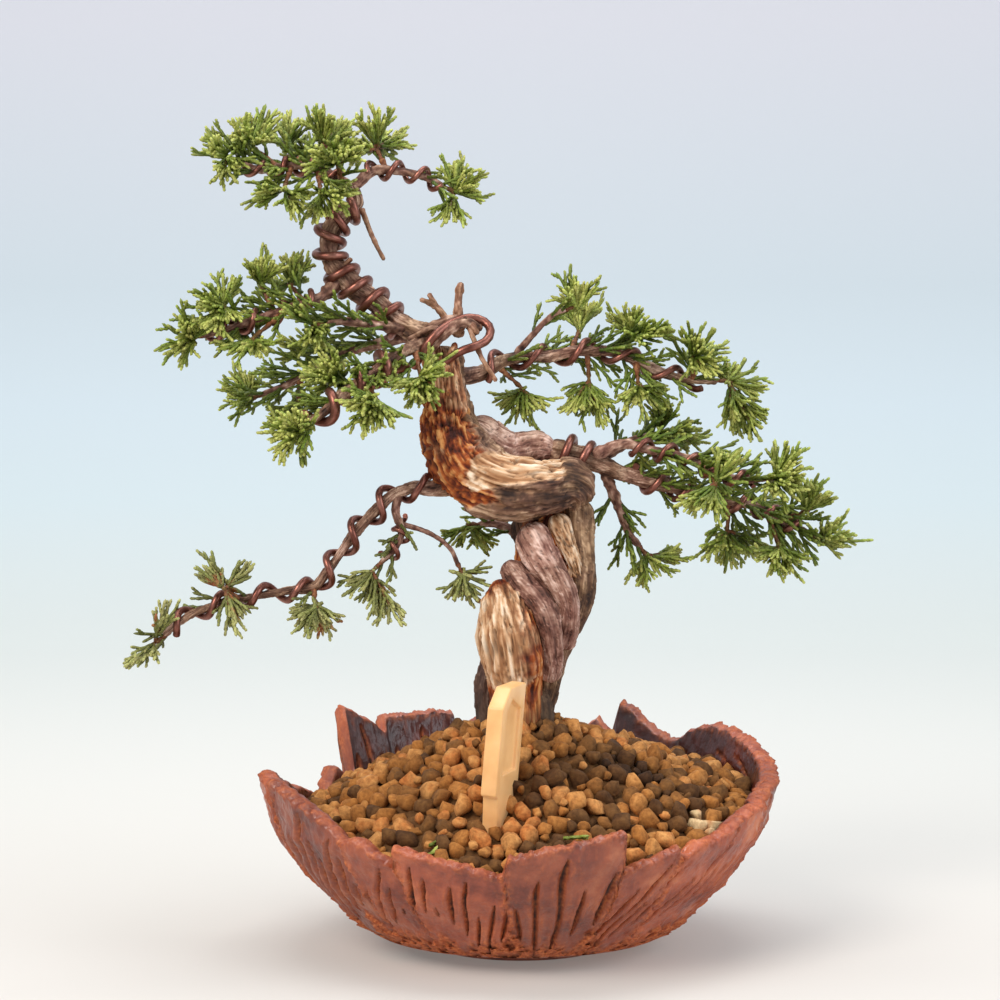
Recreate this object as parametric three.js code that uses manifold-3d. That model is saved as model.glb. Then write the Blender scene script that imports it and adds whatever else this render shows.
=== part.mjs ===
// A juniper bonsai with a twisted trunk, wired branches and feathery green sprays,
// standing in a bowl of torn clay slabs that is filled with baked-clay granules.
// Millimetres, +Z up. The origin is the middle of the bowl's foot, on the table; -Y is the front.

import * as THREE from "three";
import { mergeVertices } from "three/addons/utils/BufferGeometryUtils.js";
import Module from "manifold-3d";

const wasm = await Module();
wasm.setup();

// ---------------------------------------------------------------- driving dimensions

const GAP = 0.3; // clearance between two pieces that touch
const DEPTH = new THREE.Vector3(0, 1, 0); // no branch runs along this direction
const SKY = new THREE.Vector3(0, 0, 1);

// Bowl. Its wall is a row of torn slabs, so its rim is listed slab by slab.
const BOWL_WALL = 6;
const BOWL_FLOOR = 7; // height of the inside floor
const BOWL_PROFILE = [
  // [height, outer radius]
  [0, 32],
  [4, 33.5],
  [5, 50],
  [9.5, 56.5],
  [26, 72],
  [42, 82.5],
  [75, 91],
];
const SLAB_FADE = [6, 30]; // heights between which a slab comes to stand proud
const RIM = [
  // [angle in degrees from +X, height of the rim, how far the slab stands proud]
  [0, 58.5, 1],
  [8, 60, 1.2],
  [15.5, 63, 1.4],
  [25.5, 65.5, 1.6],
  [35.5, 67, 1.9],
  [43, 64, 2.2],
  [45.5, 61, 2.4],
  [46.5, 61, 0],
  [52, 62, 0.2],
  [59, 68.5, 0.8],
  [63.8, 72.5, 2],
  [65, 59.5, 0.2],
  [69.5, 66.5, 0.8],
  [75, 60, 1.8],
  [76, 62, 0],
  [84, 66, 0.6],
  [92, 67.5, 1.2],
  [100, 66, 1.8],
  [105.5, 59, 2.2],
  [107, 68.5, 0.2],
  [116, 68.5, 1],
  [125.5, 67.5, 2],
  [126.5, 62.5, 0],
  [131.5, 68, 0.8],
  [137.5, 72.5, 1.8],
  [139, 46.5, 0.4],
  [145.5, 53, 0.8],
  [150.5, 42, 1.6],
  [158, 46, 0.2],
  [169, 50, 0.8],
  [180, 55.5, 1.6],
  [189, 59, 2.2],
  [195, 59.5, 2.4],
  [207, 57, 1.8],
  [218, 52, 1],
  [226, 44, 0],
  [227.5, 44, 2.2],
  [232, 46, 2],
  [240.5, 36, 0.6],
  [241.8, 44.5, 2.6],
  [253, 40.5, 1.7],
  [265.5, 36, 0.8],
  [267, 43, 2.8],
  [278, 46, 2.5],
  [292, 50, 2],
  [293.3, 36, 0.2],
  [300, 39.5, 0.8],
  [307, 43, 1.2],
  [308.3, 38, 0.2],
  [312, 43, 0.6],
  [320, 44.5, 1],
  [329, 50.5, 1.6],
  [337, 52, 2],
  [338.5, 53, 0.4],
  [349, 56.5, 0.8],
];
const OUTER_LEVELS = [0.35, 0.7, 1]; // shares of the rim's height above the belly's foot
const INNER_LEVELS = [1, 0.7, 0.4];
const DRAIN_HOLES = [
  // [x, y, radius]
  [15, 6, 5],
  [-15, -4, 5],
];
const MESH_SIZE = [48, 26, 1]; // the net over both drain holes
const MESH_CELL = 6;
const MESH_BAR = 2.5;

// Soil: a mound of granules, highest round the trunk.
const SOIL_CROWN = 75; // height at the trunk
const SOIL_FOOT = [46, 4, 8.5]; // height at the wall: mean, more on the right, more at the back
const SOIL_UNDER_RIM = 2;
const SOIL_ROOM = 1.4; // between the soil and the uneven inside of the slabs
const GRANULE_STEP = 10; // larger than life: the real ones are 3 to 6
const GRANULE_RISE = 3;
const HEAP_HALF = 96; // the heap is shaped wider than the bowl, then cut to its inside
const HEAP_FLOOR = -5;
const HEADROOM = 20; // above the crown, for what is cut out of the soil
const ROOT_BALL = { x: -1.5, y: 0, radius: 13.5, bottom: 55, top: 75 };

// Plant label: a blank moulded tag with a sunken panel, standing edge-on to the front.
const LABEL = {
  place: [-14.5, -59, 43], // foot of the head's front edge at soil level
  turn: -16, // degrees about Z, from pointing straight back
  lean: 5, // degrees to the right
  thick: 5.2,
  panel: 1.5,
};
const LABEL_OUTLINE = [
  // [distance back from the front edge, height above the soil]
  [9, -12],
  [14, -12],
  [22, 6],
  [26, 18],
  [26, 50],
  [8, 50],
  [0, 44],
  [0, 16],
  [3, 15],
];
const LABEL_PANEL = [
  [6, 22],
  [22, 22],
  [22, 42],
  [11, 46],
  [6, 42],
];

// Trunk: strands of living bark and bare wood twisted round each other, [x, y, z, radius].
const TRUNK = {
  heart: [[-2, 1, 58, 11], [-1, 3, 82, 9.5], [0.5, 5, 95.5, 9.5], [5.5, 6, 109.5, 11],
    [9.5, 5, 123.5, 12], [11, 5, 135.5, 12], [14.5, 5, 151, 10]],
  deadwood: [[-7, -5, 124, 3.5], [-5.5, -8, 117.5, 8], [-4, -9, 106.5, 11], [-2.5, -8, 97, 11],
    [-1.5, -5, 86.5, 9], [-0.5, -2, 68, 9]],
  mauve_strand: [[-5, -6, 130, 3], [0, -9, 123.5, 5], [6.5, -11, 116, 4.4], [10, -9, 106, 4],
    [11, -6, 96.5, 3.2], [10, -4, 89, 2.4]],
  purple_strand: [[2, -4, 142, 6.5], [6.5, -8, 134, 6], [11.5, -9, 125, 5], [15.5, -7, 116, 4.2],
    [16, -4, 107, 3.4], [14.5, -3, 100, 2.4]],
  pale_wedge: [[11.5, -3, 146, 4.5], [15, -5, 138, 3.6], [18, -5, 130.5, 2.6], [20, -3, 124.5, 1.6]],
  tan_strand: [[19.5, 0, 151.5, 5], [20, 0, 140.5, 5], [21, 0, 129.5, 4.6], [20.5, 1, 120, 5],
    [18, 2, 111.5, 4.6], [13.5, 2, 101, 4.2], [9.5, 2, 89, 4], [5, 2, 68, 4]],
  dark_root: [[-7, 4, 102.5, 4], [-10.5, 2, 92.5, 3.6], [-12, 0, 82.5, 3.4], [-10, -1, 66, 4]],
  right_root: [[5.5, -1, 86, 4], [7, -2, 78.5, 4.5], [6, -2, 66, 4.5]],
  back_strand: [[0, 11, 145.5, 6], [9, 14, 131.5, 7], [15.5, 13, 116, 6.4], [11, 13, 102, 6],
    [3, 9, 85, 6], [-2, 5, 66, 6]],
  back_root: [[19, 12, 145.5, 5], [14, 15, 133, 6], [5.5, 15, 117.5, 6.4], [-2.5, 12, 102, 6],
    [-6, 7, 85, 5], [-7, 4, 66, 5]],
  elbow: [[21.5, 3, 152, 7.5], [16.5, -3, 156, 8.6], [6.5, -7, 155.5, 10.6], [-6, -9, 156, 11.4],
    [-18.5, -7, 162, 12], [-23.5, -4, 171.5, 10.8], [-25, -2, 181.5, 8.8], [-26.5, -1, 192.5, 7.2],
    [-27.5, 0, 203.5, 6.2]],
  torn_spike: [[-21.5, -7, 178, 4.5], [-22.5, -7, 190, 3.2], [-23, -6, 197.5, 2.4], [-22, -5, 204.5, 0.7]],
  back_hump: [[-17, 1, 178, 6], [-11.5, 4, 171.5, 6.4], [-3.5, 7, 167, 6.6], [5.5, 8, 168, 6],
    [12.5, 8, 167, 4.6]],
};

// Branches, each from its root to its tip.
const BRANCHES = {
  apex: [[-27, 0, 204, 5.6], [-33, -1, 207, 4.2], [-39, -1, 210, 3.4], [-44, 0, 213, 3],
    [-49, 0, 218, 2.9], [-55, 0, 222, 3.2], [-60, 0, 227, 3.1], [-64, 0, 232, 2.8], [-65, 0, 238, 2.7],
    [-64, 0, 243, 2.6], [-60, 0, 248, 2.4], [-55, 0, 252, 2.1], [-57, 0, 258, 1.7]],
  top_left: [[-57, 0, 257, 1.9], [-68, -2, 263, 1.5], [-78, -5, 264, 1.3], [-87, -8, 262, 1.2],
    [-95, -10, 265, 1]],
  top_right: [[-57, 0, 257, 1.9], [-50, 2, 263, 1.6], [-41, 3, 263, 1.4], [-32, 4, 261, 1.2],
    [-26, 5, 258, 1]],
  left_upper: [[-61, 0, 227, 2.4], [-67, -4, 220, 1.8], [-74, -8, 217, 1.6], [-82, -12, 214, 1.4],
    [-90, -15, 211, 1.3], [-98, -17, 208, 1.2], [-106, -18, 206, 1]],
  left_back: [[-35, 2, 208, 2.4], [-46, 6, 205, 1.8], [-59, 10, 202, 1.6], [-69, 13, 197, 1.4],
    [-80, 15, 191, 1.2], [-90, 16, 187, 1]],
  left_front: [[-31, -2, 205, 2.6], [-39, -14, 201, 2.2], [-45, -23, 196, 2], [-54, -32, 189, 1.8],
    [-62, -39, 182, 1.5], [-69, -43, 176, 1.2]],
  left_top: [[-39, -2, 209, 2], [-49, -8, 210, 1.4], [-58, -12, 211, 1.2], [-65, -15, 210, 1]],
  right_upper: [[-24, 1, 193, 3], [-14, 4, 194, 2.5], [-7, 6, 198, 2.2], [0, 8, 200, 2],
    [9, 10, 200, 1.9], [19, 12, 202, 1.8], [31, 14, 202, 1.6], [42, 15, 198, 1.5], [52, 16, 194, 1.4],
    [61, 17, 192, 1.2], [69, 18, 192, 1]],
  right_upper_twig: [[-2, 8, 200, 1.4], [4, 6, 207, 1.1], [11, 4, 214, 0.9], [16, 3, 216, 0.8]],
  right_lower: [[9, 8, 168, 4.6], [19, 8, 166, 3.6], [28, 8, 163, 3], [35, 8, 160, 2.5],
    [45, 8, 157, 2.1], [56, 9, 154, 1.8], [68, 11, 151, 1.5], [80, 12, 149, 1.3], [92, 13, 143, 1.1],
    [101, 13, 138, 1]],
  right_lower_fork: [[25, 5, 166, 2.2], [35, 2, 170, 1.7], [44, 0, 168, 1.5], [54, -2, 166, 1.4],
    [63, -3, 162, 1.3], [74, -4, 158, 1.1], [82, -5, 158, 1]],
  right_lower_drop: [[29, 10, 161, 2], [34, 13, 149, 1.7], [38, 15, 139, 1.4], [42, 16, 134, 1.1]],
  right_lower_rise: [[28, 10, 165, 1.8], [39, 16, 171, 1.5], [46, 20, 173, 1.1]],
  left_lower: [[-21, -6, 156, 3.4], [-31, -8, 155, 2.3], [-37, -9, 155, 2], [-43, -10, 153, 1.8],
    [-49, -10, 147, 1.7], [-55, -11, 141, 1.6], [-60, -12, 134, 1.5], [-65, -13, 127, 1.4],
    [-69, -14, 122, 1.4], [-77, -15, 121, 1.3], [-89, -16, 119, 1.2], [-100, -17, 117, 1.1],
    [-110, -18, 113, 1.1], [-119, -19, 106, 1]],
  left_lower_drop: [[-41, -10, 154, 1.7], [-42, -10, 147, 1.4], [-40, -11, 141, 1.2], [-42, -12, 135, 1.1],
    [-47, -13, 130, 0.9]],
  left_lower_twig: [[-40, -10, 143, 1], [-31, -8, 140, 0.8], [-24, -7, 135, 0.8], [-21, -6, 129, 0.7]],
  back_low: [[2, 13, 138, 2], [-8, 16, 142, 1.4], [-14, 18, 142, 1.1]],
};

const BARE_FINENESS = 0.8; // straight lengths for each point of a bare branch
const WIRED_FINENESS = 1.2; // and of a branch that a wire follows closely

// Dead stubs and bare twigs.
const STUBS = {
  stub_up: [[-21, -1, 206, 2], [-21, -2, 219, 1.3], [-20, -2, 225, 1]],
  stub_left: [[-23, -3, 208, 1.5], [-28, -5, 216, 1.1], [-34, -6, 219, 0.8]],
  stub_small: [[-27, -4, 214, 1], [-31, -6, 221, 0.8]],
  stub_right: [[-23, -3, 207, 1.6], [-18, -6, 211, 1.2], [-14, -7, 207, 0.9]],
  dead_twig: [[-18, -6, 211, 0.9], [-13, -8, 199, 0.8], [-8, -9, 191, 0.7]],
  apex_stub: [[-63, 0, 228, 1.2], [-57, -2, 233, 0.8]],
  apex_twig: [[-54, -1, 250, 1], [-50, -4, 240, 0.8], [-46, -5, 232, 0.7]],
  apex_side: [[-64, 0, 242, 1.1], [-66, -2, 249, 0.8]],
};

// Wires: [name, branch, start and end as shares of its length, turns, wire radius, first angle].
const WIRES = [
  ["wire_apex", "apex", 0.2, 0.9, 8, 1.5, 225],
  ["wire_top_left", "top_left", 0.12, 0.96, 4, 1, 45],
  ["wire_top_right", "top_right", 0.2, 0.97, 3, 1, 180],
  ["wire_left_upper", "left_upper", 0.2, 0.97, 4, 1.1, 0],
  ["wire_left_front", "left_front", 0.3, 0.97, 3.5, 1.6, 255],
  ["wire_right_upper", "right_upper", 0.12, 0.94, 5, 1.2, 120],
  ["wire_right_loop", "right_lower", 0.04, 0.17, 2, 1.5, 30],
  ["wire_right_lower", "right_lower", 0.32, 0.94, 6, 1.2, 240],
  ["wire_right_fork", "right_lower_fork", 0.24, 0.95, 5, 1, 60],
  ["wire_left_lower", "left_lower", 0.08, 0.97, 7.5, 1.25, 60],
  ["wire_left_drop", "left_lower_drop", 0.35, 0.92, 2.5, 0.9, 270],
];
const WIRE_STEPS = 5; // straight lengths in a turn
const WIRE_SLACK = 0.4; // a coil is wound a little loose
const WIRE_SIDES = 4;

// Sprays: [name, branch, share of its length, fork (or null at the branch's tip), tips of the stems].
const SPRAYS = [
  ["top_1", "top_left", 1, null, [-106, -14, 270], [-99, -24, 256], [-104, 2, 276]],
  ["top_2", "top_left", 0.74, [-91, -2, 271], [-94, 2, 283], [-86, 8, 285], [-95, -22, 272]],
  ["top_3", "top_left", 0.5, [-80, 8, 272], [-79, 12, 287], [-89, 30, 278]],
  ["top_4", "top_left", 0.45, [-79, -14, 255], [-89, -26, 252], [-72, -28, 245]],
  ["top_5", "top_left", 0.2, [-67, 4, 271], [-69, 0, 287], [-61, 22, 285], [-72, 38, 276]],
  ["top_6", "top_left", 0.25, [-67, -10, 255], [-70, -16, 241], [-59, -30, 251]],
  ["top_7", "top_right", 0.35, [-49, 4, 271], [-47, -6, 284], [-40, 22, 278], [-52, 38, 275]],
  ["top_8", "top_left", 0.1, [-61, -16, 263], [-68, -36, 265], [-55, -34, 265]],
  ["top_9", "top_right", 1, null, [-18, 12, 271], [-12, 3, 258], [-25, -4, 243]],
  ["high_1", "left_upper", 1, null, [-116, -22, 199], [-109, -26, 211]],
  ["high_2", "left_upper", 0.72, [-99, -18, 216], [-106, -26, 217], [-97, -12, 226], [-101, -32, 205]],
  ["high_3", "left_upper", 0.48, [-87, -10, 223], [-87, -18, 234], [-83, 4, 232]],
  ["high_4", "left_upper", 0.3, [-78, 0, 224], [-74, 4, 236], [-83, 22, 228]],
  ["high_5", "left_upper", 0.5, [-89, -20, 205], [-97, -26, 198], [-84, -34, 197], [-96, 4, 204]],
  ["mid_1", "left_back", 1, null, [-104, 20, 190], [-99, 30, 197], [-97, 10, 182]],
  ["mid_2", "left_back", 0.75, [-77, 16, 185], [-87, 10, 175], [-78, 24, 173]],
  ["mid_3", "left_back", 0.55, [-70, 16, 203], [-86, 16, 203], [-78, 30, 207], [-64, 40, 196]],
  ["mid_4", "left_front", 1, null, [-81, -50, 170], [-74, -58, 181], [-72, -46, 167]],
  ["mid_5", "left_front", 0.6, [-60, -26, 191], [-74, -16, 193], [-63, -36, 198], [-70, -40, 187]],
  ["mid_6", "left_front", 0.5, [-47, -42, 185], [-51, -48, 172], [-40, -54, 176], [-55, -58, 181]],
  ["mid_7", "left_front", 0.14, [-33, -21, 192], [-26, -24, 195], [-32, -30, 182], [-40, -34, 185]],
  ["mid_8", "left_top", 1, null, [-80, -20, 214], [-68, -31, 202]],
  ["right_1", "right_upper", 1, null, [87, 20, 188], [85, 14, 169], [76, 26, 197]],
  ["right_2", "right_upper", 0.85, [60, 12, 200], [59, 2, 208], [70, 30, 205], [66, 0, 192]],
  ["right_3", "right_upper", 0.66, [40, 14, 207], [49, -2, 207], [41, 26, 214], [32, 10, 218]],
  ["right_4", "right_upper", 0.64, [41, 10, 190], [39, 2, 181], [51, 22, 185]],
  ["right_5", "right_upper", 0.46, [24, 14, 192], [30, 8, 173], [24, 16, 178], [15, 8, 179]],
  ["right_6", "right_upper", 0.24, [1, 13, 189], [9, 6, 180], [1, 14, 176], [-10, 16, 182]],
  ["right_7", "right_upper_twig", 1, null, [22, 0, 226], [12, 2, 222]],
  ["right_8", "right_upper", 0.47, [21, 20, 210], [24, 22, 221], [19, 30, 219]],
  ["low_1", "right_lower", 1, null, [115, 16, 134], [109, 4, 143]],
  ["low_2", "right_lower", 0.88, [99, 8, 147], [107, 2, 155], [99, 14, 159]],
  ["low_3", "right_lower", 0.82, [89, 6, 135], [94, 0, 124], [81, -6, 129]],
  ["low_4", "right_lower", 0.68, [72, 14, 140], [75, 22, 124], [63, -2, 130], [86, 34, 133]],
  ["low_5", "right_lower_fork", 1, null, [97, -10, 163], [92, -2, 171], [86, -22, 151]],
  ["low_6", "right_lower_fork", 0.68, [65, -16, 157], [74, -14, 170], [61, -26, 145], [52, -20, 147]],
  ["low_7", "right_lower_rise", 1, null, [58, 6, 173], [52, 16, 188], [69, 34, 169]],
  ["low_8", "right_lower_drop", 1, null, [48, 14, 123], [38, 20, 124], [59, 26, 132]],
  ["far_1", "left_lower", 1, null, [-133, -22, 94], [-117, -26, 119], [-122, -30, 98]],
  ["far_2", "left_lower", 0.76, [-98, -24, 122], [-107, -22, 131], [-93, -26, 105], [-88, -20, 132]],
  ["far_3", "left_lower", 0.52, [-68, -20, 116], [-67, -20, 105], [-74, -24, 110]],
  ["far_4", "left_lower_drop", 1, null, [-58, -16, 121], [-39, -18, 107], [-48, -8, 111]],
  ["far_5", "left_lower_twig", 1, null, [-21, -5, 116], [-14, -4, 124]],
  ["behind_1", "back_low", 1, null, [-24, 22, 133], [-12, 28, 133]],
];
const SHOOT = { step: 3.4, length: 8.5, radius: 0.6, lean: 50, end: 5, tries: 6 };
const STEM = { root: 1.1, tip: 0.7, neck: 3.5, knot: 2 }; // radii, and lengths at the fork
const SEED = 20517;

// ---------------------------------------------------------------- small helpers

const radians = THREE.MathUtils.degToRad;
const vector = ([x, y, z]) => new THREE.Vector3(x, y, z);

/** A repeatable random number from 0 to 1. */
function makeRandom(seed) {
  let state = seed;
  return () => {
    state = (state * 1103515245 + 12345) % 2147483648;
    return state / 2147483648;
  };
}

/** Straight-line interpolation in a list of rows, by their first number. */
function lookUp(rows, key, column) {
  const next = rows.findIndex((row) => row[0] >= key);
  if (next === -1) return rows.at(-1)[column];
  if (next === 0) return rows[0][column];
  const [low, high] = [rows[next - 1], rows[next]];
  const share = (key - low[0]) / (high[0] - low[0]);
  return low[column] + share * (high[column] - low[column]);
}

/** A closed geometry as a solid that can be joined and cut. */
function solidOf(geometry) {
  const bare = geometry.clone();
  bare.deleteAttribute("normal");
  bare.deleteAttribute("uv");
  const merged = mergeVertices(bare, 1e-4);
  return new wasm.Manifold(
    new wasm.Mesh({
      numProp: 3,
      vertProperties: merged.attributes.position.array,
      triVerts: new Uint32Array(merged.index.array),
    }),
  );
}

/** A solid as a mesh of the model. */
function addPiece(group, name, solid, material) {
  const { vertProperties, triVerts } = solid.getMesh();
  const geometry = new THREE.BufferGeometry();
  geometry.setAttribute("position", new THREE.BufferAttribute(vertProperties, 3));
  geometry.setIndex(new THREE.BufferAttribute(triVerts, 1));
  geometry.computeVertexNormals();
  const mesh = new THREE.Mesh(geometry, material);
  mesh.name = name;
  group.add(mesh);
}

/** The largest of a solid's separate bodies: the scraps that a cut leaves are dropped. */
function largestBody(solid) {
  return solid.decompose().reduce((best, body) => (body.volume() > best.volume() ? body : best));
}

/** A smooth line through [x, y, z, radius] points. */
class Limb {
  constructor(points) {
    this.curve = new THREE.CatmullRomCurve3(points.map(vector), false, "catmullrom", 0.5);
    this.radii = points.map((point) => point[3]);
    this.length = this.curve.getLength();
  }

  /** Place, direction, radius and two sideways directions at a share of the length. */
  at(share) {
    const t = this.curve.getUtoTmapping(share);
    const spot = t * (this.radii.length - 1);
    const index = Math.min(Math.floor(spot), this.radii.length - 2);
    const radius = THREE.MathUtils.lerp(this.radii[index], this.radii[index + 1], spot - index);
    const along = this.curve.getTangent(t);
    const first = DEPTH.clone().addScaledVector(along, -DEPTH.dot(along)).normalize();
    const second = new THREE.Vector3().crossVectors(first, along);
    return { place: this.curve.getPoint(t), along, radius, first, second };
  }

  /** A point beside the line, at an angle in radians. */
  beside(share, angle, distance) {
    const { place, first, second } = this.at(share);
    return place
      .addScaledVector(first, distance * Math.cos(angle))
      .addScaledVector(second, distance * Math.sin(angle));
  }

  /** A closed round bar along the line: a cylinder bent and tapered to it. */
  solid(sides, steps) {
    const bar = new THREE.CylinderGeometry(1, 1, 1, sides, steps);
    const position = bar.attributes.position;
    for (let i = 0; i < position.count; i++) {
      const { place, radius, first, second } = this.at(position.getY(i) + 0.5);
      place
        .addScaledVector(first, position.getX(i) * radius)
        .addScaledVector(second, position.getZ(i) * radius);
      position.setXYZ(i, place.x, place.y, place.z);
    }
    return solidOf(bar);
  }
}

/** A straight tapered bar between two points. */
function bar(from, to, rootRadius, tipRadius, sides) {
  const length = from.distanceTo(to);
  const shape = new THREE.CylinderGeometry(tipRadius, rootRadius, length, sides);
  shape.translate(0, length / 2, 0);
  const along = to.clone().sub(from).normalize();
  shape.applyQuaternion(new THREE.Quaternion().setFromUnitVectors(new THREE.Vector3(0, 1, 0), along));
  shape.translate(from.x, from.y, from.z);
  return solidOf(shape);
}

// ---------------------------------------------------------------- room between pieces

const taken = []; // every round length so far: its two ends, its radius and its piece

/** The least distance between the straight lengths a-b and c-d. */
function distanceApart(a, b, c, d) {
  const ab = b.clone().sub(a);
  const cd = d.clone().sub(c);
  const ca = a.clone().sub(c);
  const [aa, cc, ac] = [ab.dot(ab), cd.dot(cd), ab.dot(cd)];
  const [ra, rc] = [ab.dot(ca), cd.dot(ca)];
  const spread = aa * cc - ac * ac;
  const clamp = THREE.MathUtils.clamp;
  let s = spread > 1e-9 ? clamp((ac * rc - ra * cc) / spread, 0, 1) : 0;
  const t = clamp((ac * s + rc) / cc, 0, 1);
  s = clamp((ac * t - ra) / aa, 0, 1);
  return ca.addScaledVector(ab, s).addScaledVector(cd, -t).length();
}

function take(piece, from, to, radius) {
  taken.push({ piece, from, to, radius });
}

function isClear(piece, from, to, radius) {
  const reach = from.distanceTo(to) + radius;
  return taken.every((other) => {
    if (other.piece === piece) return true;
    const room = radius + other.radius + GAP;
    if (from.distanceTo(other.from) > reach + room + other.from.distanceTo(other.to)) return true;
    return distanceApart(from, to, other.from, other.to) >= room;
  });
}

function takeLimb(piece, limb, steps) {
  for (let i = 0; i < steps; i++) {
    const low = limb.at(i / steps);
    const high = limb.at((i + 1) / steps);
    take(piece, low.place, high.place, Math.max(low.radius, high.radius));
  }
}

// ---------------------------------------------------------------- bowl, net and soil

function rimAt(degrees) {
  const angle = ((degrees % 360) + 360) % 360;
  const closed = [...RIM, [360, RIM[0][1], RIM[0][2]]];
  return { height: lookUp(closed, angle, 1), proud: lookUp(closed, angle, 2) };
}

/** Radius of the bowl's outside at a height, for a slab that stands proud. */
function outerRadius(height, proud) {
  const share = (height - SLAB_FADE[0]) / (SLAB_FADE[1] - SLAB_FADE[0]);
  return lookUp(BOWL_PROFILE, height, 1) + proud * THREE.MathUtils.clamp(share, 0, 1);
}

/** A LatheGeometry whose every column follows its own profile, [radius, height] by angle. */
function latheByAngle(profileAt) {
  const columns = RIM.length;
  const profile = profileAt(RIM[0][0]).map(([radius, height]) => new THREE.Vector2(radius, height));
  const shape = new THREE.LatheGeometry(profile, columns);
  const position = shape.attributes.position;
  for (let i = 0; i < position.count; i++) {
    const angle = RIM[Math.floor(i / profile.length) % columns][0];
    const [radius, height] = profileAt(angle)[i % profile.length];
    const turn = -radians(angle);
    position.setXYZ(i, radius * Math.cos(turn), height, radius * Math.sin(turn));
  }
  return solidOf(shape.rotateX(Math.PI / 2));
}

const BELLY = 3; // the profile's row where the slabs begin
const FLOOR_REACH = 44; // radius of the flat inside floor

function bowlProfile(angle) {
  const { height, proud } = rimAt(angle);
  const belly = BOWL_PROFILE[BELLY][0];
  const outside = OUTER_LEVELS.map((share) => {
    const level = belly + share * (height - belly);
    return [outerRadius(level, proud), level];
  });
  const inside = INNER_LEVELS.map((share) => {
    const level = BOWL_FLOOR + share * (height - BOWL_FLOOR);
    return [outerRadius(level, proud) - BOWL_WALL, level];
  });
  return [
    [0, 0],
    ...BOWL_PROFILE.slice(0, BELLY + 1).map(([level, radius]) => [radius, level]),
    ...outside,
    ...inside,
    [FLOOR_REACH, BOWL_FLOOR],
    [0, BOWL_FLOOR],
  ];
}

/** The space inside the bowl, a gap away from its wall and closed above the rim. */
function fillProfile(angle) {
  const inside = bowlProfile(angle).slice(-INNER_LEVELS.length - 2).reverse();
  const shrunk = inside.map(([radius, level]) => [Math.max(radius - SOIL_ROOM, 0), level + GAP]);
  const top = SOIL_CROWN + HEADROOM;
  return [...shrunk, [shrunk.at(-1)[0], top], [0, top]];
}

function makeBowl() {
  const holes = DRAIN_HOLES.map(([x, y, radius]) => {
    const hole = new THREE.CylinderGeometry(radius, radius, 3 * BOWL_FLOOR, 12).rotateX(Math.PI / 2);
    return solidOf(hole.translate(x, y, 0));
  });
  return latheByAngle(bowlProfile).subtract(wasm.Manifold.union(holes));
}

/** The plastic net that keeps the soil in over the drain holes. */
function makeNet() {
  const [width, depth, thick] = MESH_SIZE;
  const pitch = MESH_CELL + MESH_BAR;
  const across = Math.floor((width - MESH_BAR) / pitch);
  const along = Math.floor((depth - MESH_BAR) / pitch);
  const level = BOWL_FLOOR + GAP + thick / 2;
  const holes = [];
  for (let i = 0; i < across; i++) {
    for (let j = 0; j < along; j++) {
      const hole = new THREE.BoxGeometry(MESH_CELL, MESH_CELL, 3 * thick);
      hole.translate((i - (across - 1) / 2) * pitch, (j - (along - 1) / 2) * pitch, level);
      holes.push(solidOf(hole));
    }
  }
  const sheet = new THREE.BoxGeometry(width, depth, thick).translate(0, 0, level);
  return solidOf(sheet).subtract(wasm.Manifold.union(holes));
}

/** Height of the soil at a point, without its granules. */
function soilHeight(x, y) {
  const angle = Math.atan2(y, x);
  const rim = rimAt(THREE.MathUtils.radToDeg(angle));
  const [mean, right, back] = SOIL_FOOT;
  const edge = Math.min(
    mean + right * Math.cos(angle) + back * Math.sin(angle),
    rim.height - SOIL_UNDER_RIM,
  );
  const radius = outerRadius(edge, rim.proud) - BOWL_WALL;
  const share = (Math.hypot(x, y) - ROOT_BALL.radius) / (radius - ROOT_BALL.radius);
  return THREE.MathUtils.lerp(SOIL_CROWN, edge, THREE.MathUtils.clamp(share, 0, 1.1));
}

/** A block whose top is a lattice of granules: every third point of it is raised. */
function makeHeap() {
  const step = GRANULE_STEP / Math.sqrt(3);
  const jitter = GRANULE_STEP / 4;
  const half = HEAP_HALF;
  const across = Math.round((2 * half) / step);
  const down = Math.round((2 * half) / (step * Math.sqrt(3) / 2));
  const heap = new THREE.BoxGeometry(2 * half, 2 * half, 2, across, down, 1);
  const random = makeRandom(SEED);
  const position = heap.attributes.position;
  const lift = new Map();
  for (let i = 0; i < position.count; i++) {
    if (position.getZ(i) < 0) {
      position.setZ(i, HEAP_FLOOR);
      continue;
    }
    const column = Math.round(((position.getX(i) + half) / (2 * half)) * across);
    const line = Math.round(((position.getY(i) + half) / (2 * half)) * down);
    const key = column * 1000 + line;
    if (!lift.has(key)) lift.set(key, [random(), random(), random()]);
    const [a, b, c] = lift.get(key);
    const shift = line % 2 ? step / 2 : 0;
    const raised = (column + (line % 2 ? 2 : 0)) % 3 === 0;
    const edge = column === 0 || column === across || line === 0 || line === down;
    const x = position.getX(i) + (edge ? 0 : shift + (a - 0.5) * jitter);
    const y = position.getY(i) + (edge ? 0 : (b - 0.5) * jitter);
    const rise = raised ? GRANULE_RISE * (0.5 + 0.5 * c) : -0.3 * c;
    position.setXYZ(i, x, y, soilHeight(x, y) - 1 + rise);
  }
  return solidOf(heap);
}

function makeSoil(netSpace, labelSpace) {
  const { x, y, radius, bottom } = ROOT_BALL;
  const depth = SOIL_CROWN + HEADROOM - bottom;
  const hole = new THREE.CylinderGeometry(radius + GAP, radius + GAP, depth, 16).rotateX(Math.PI / 2);
  const rootSpace = solidOf(hole.translate(x, y, bottom - GAP + depth / 2));
  const spaces = wasm.Manifold.union([rootSpace, netSpace, labelSpace]);
  return largestBody(latheByAngle(fillProfile).intersect(makeHeap()).subtract(spaces));
}

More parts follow.
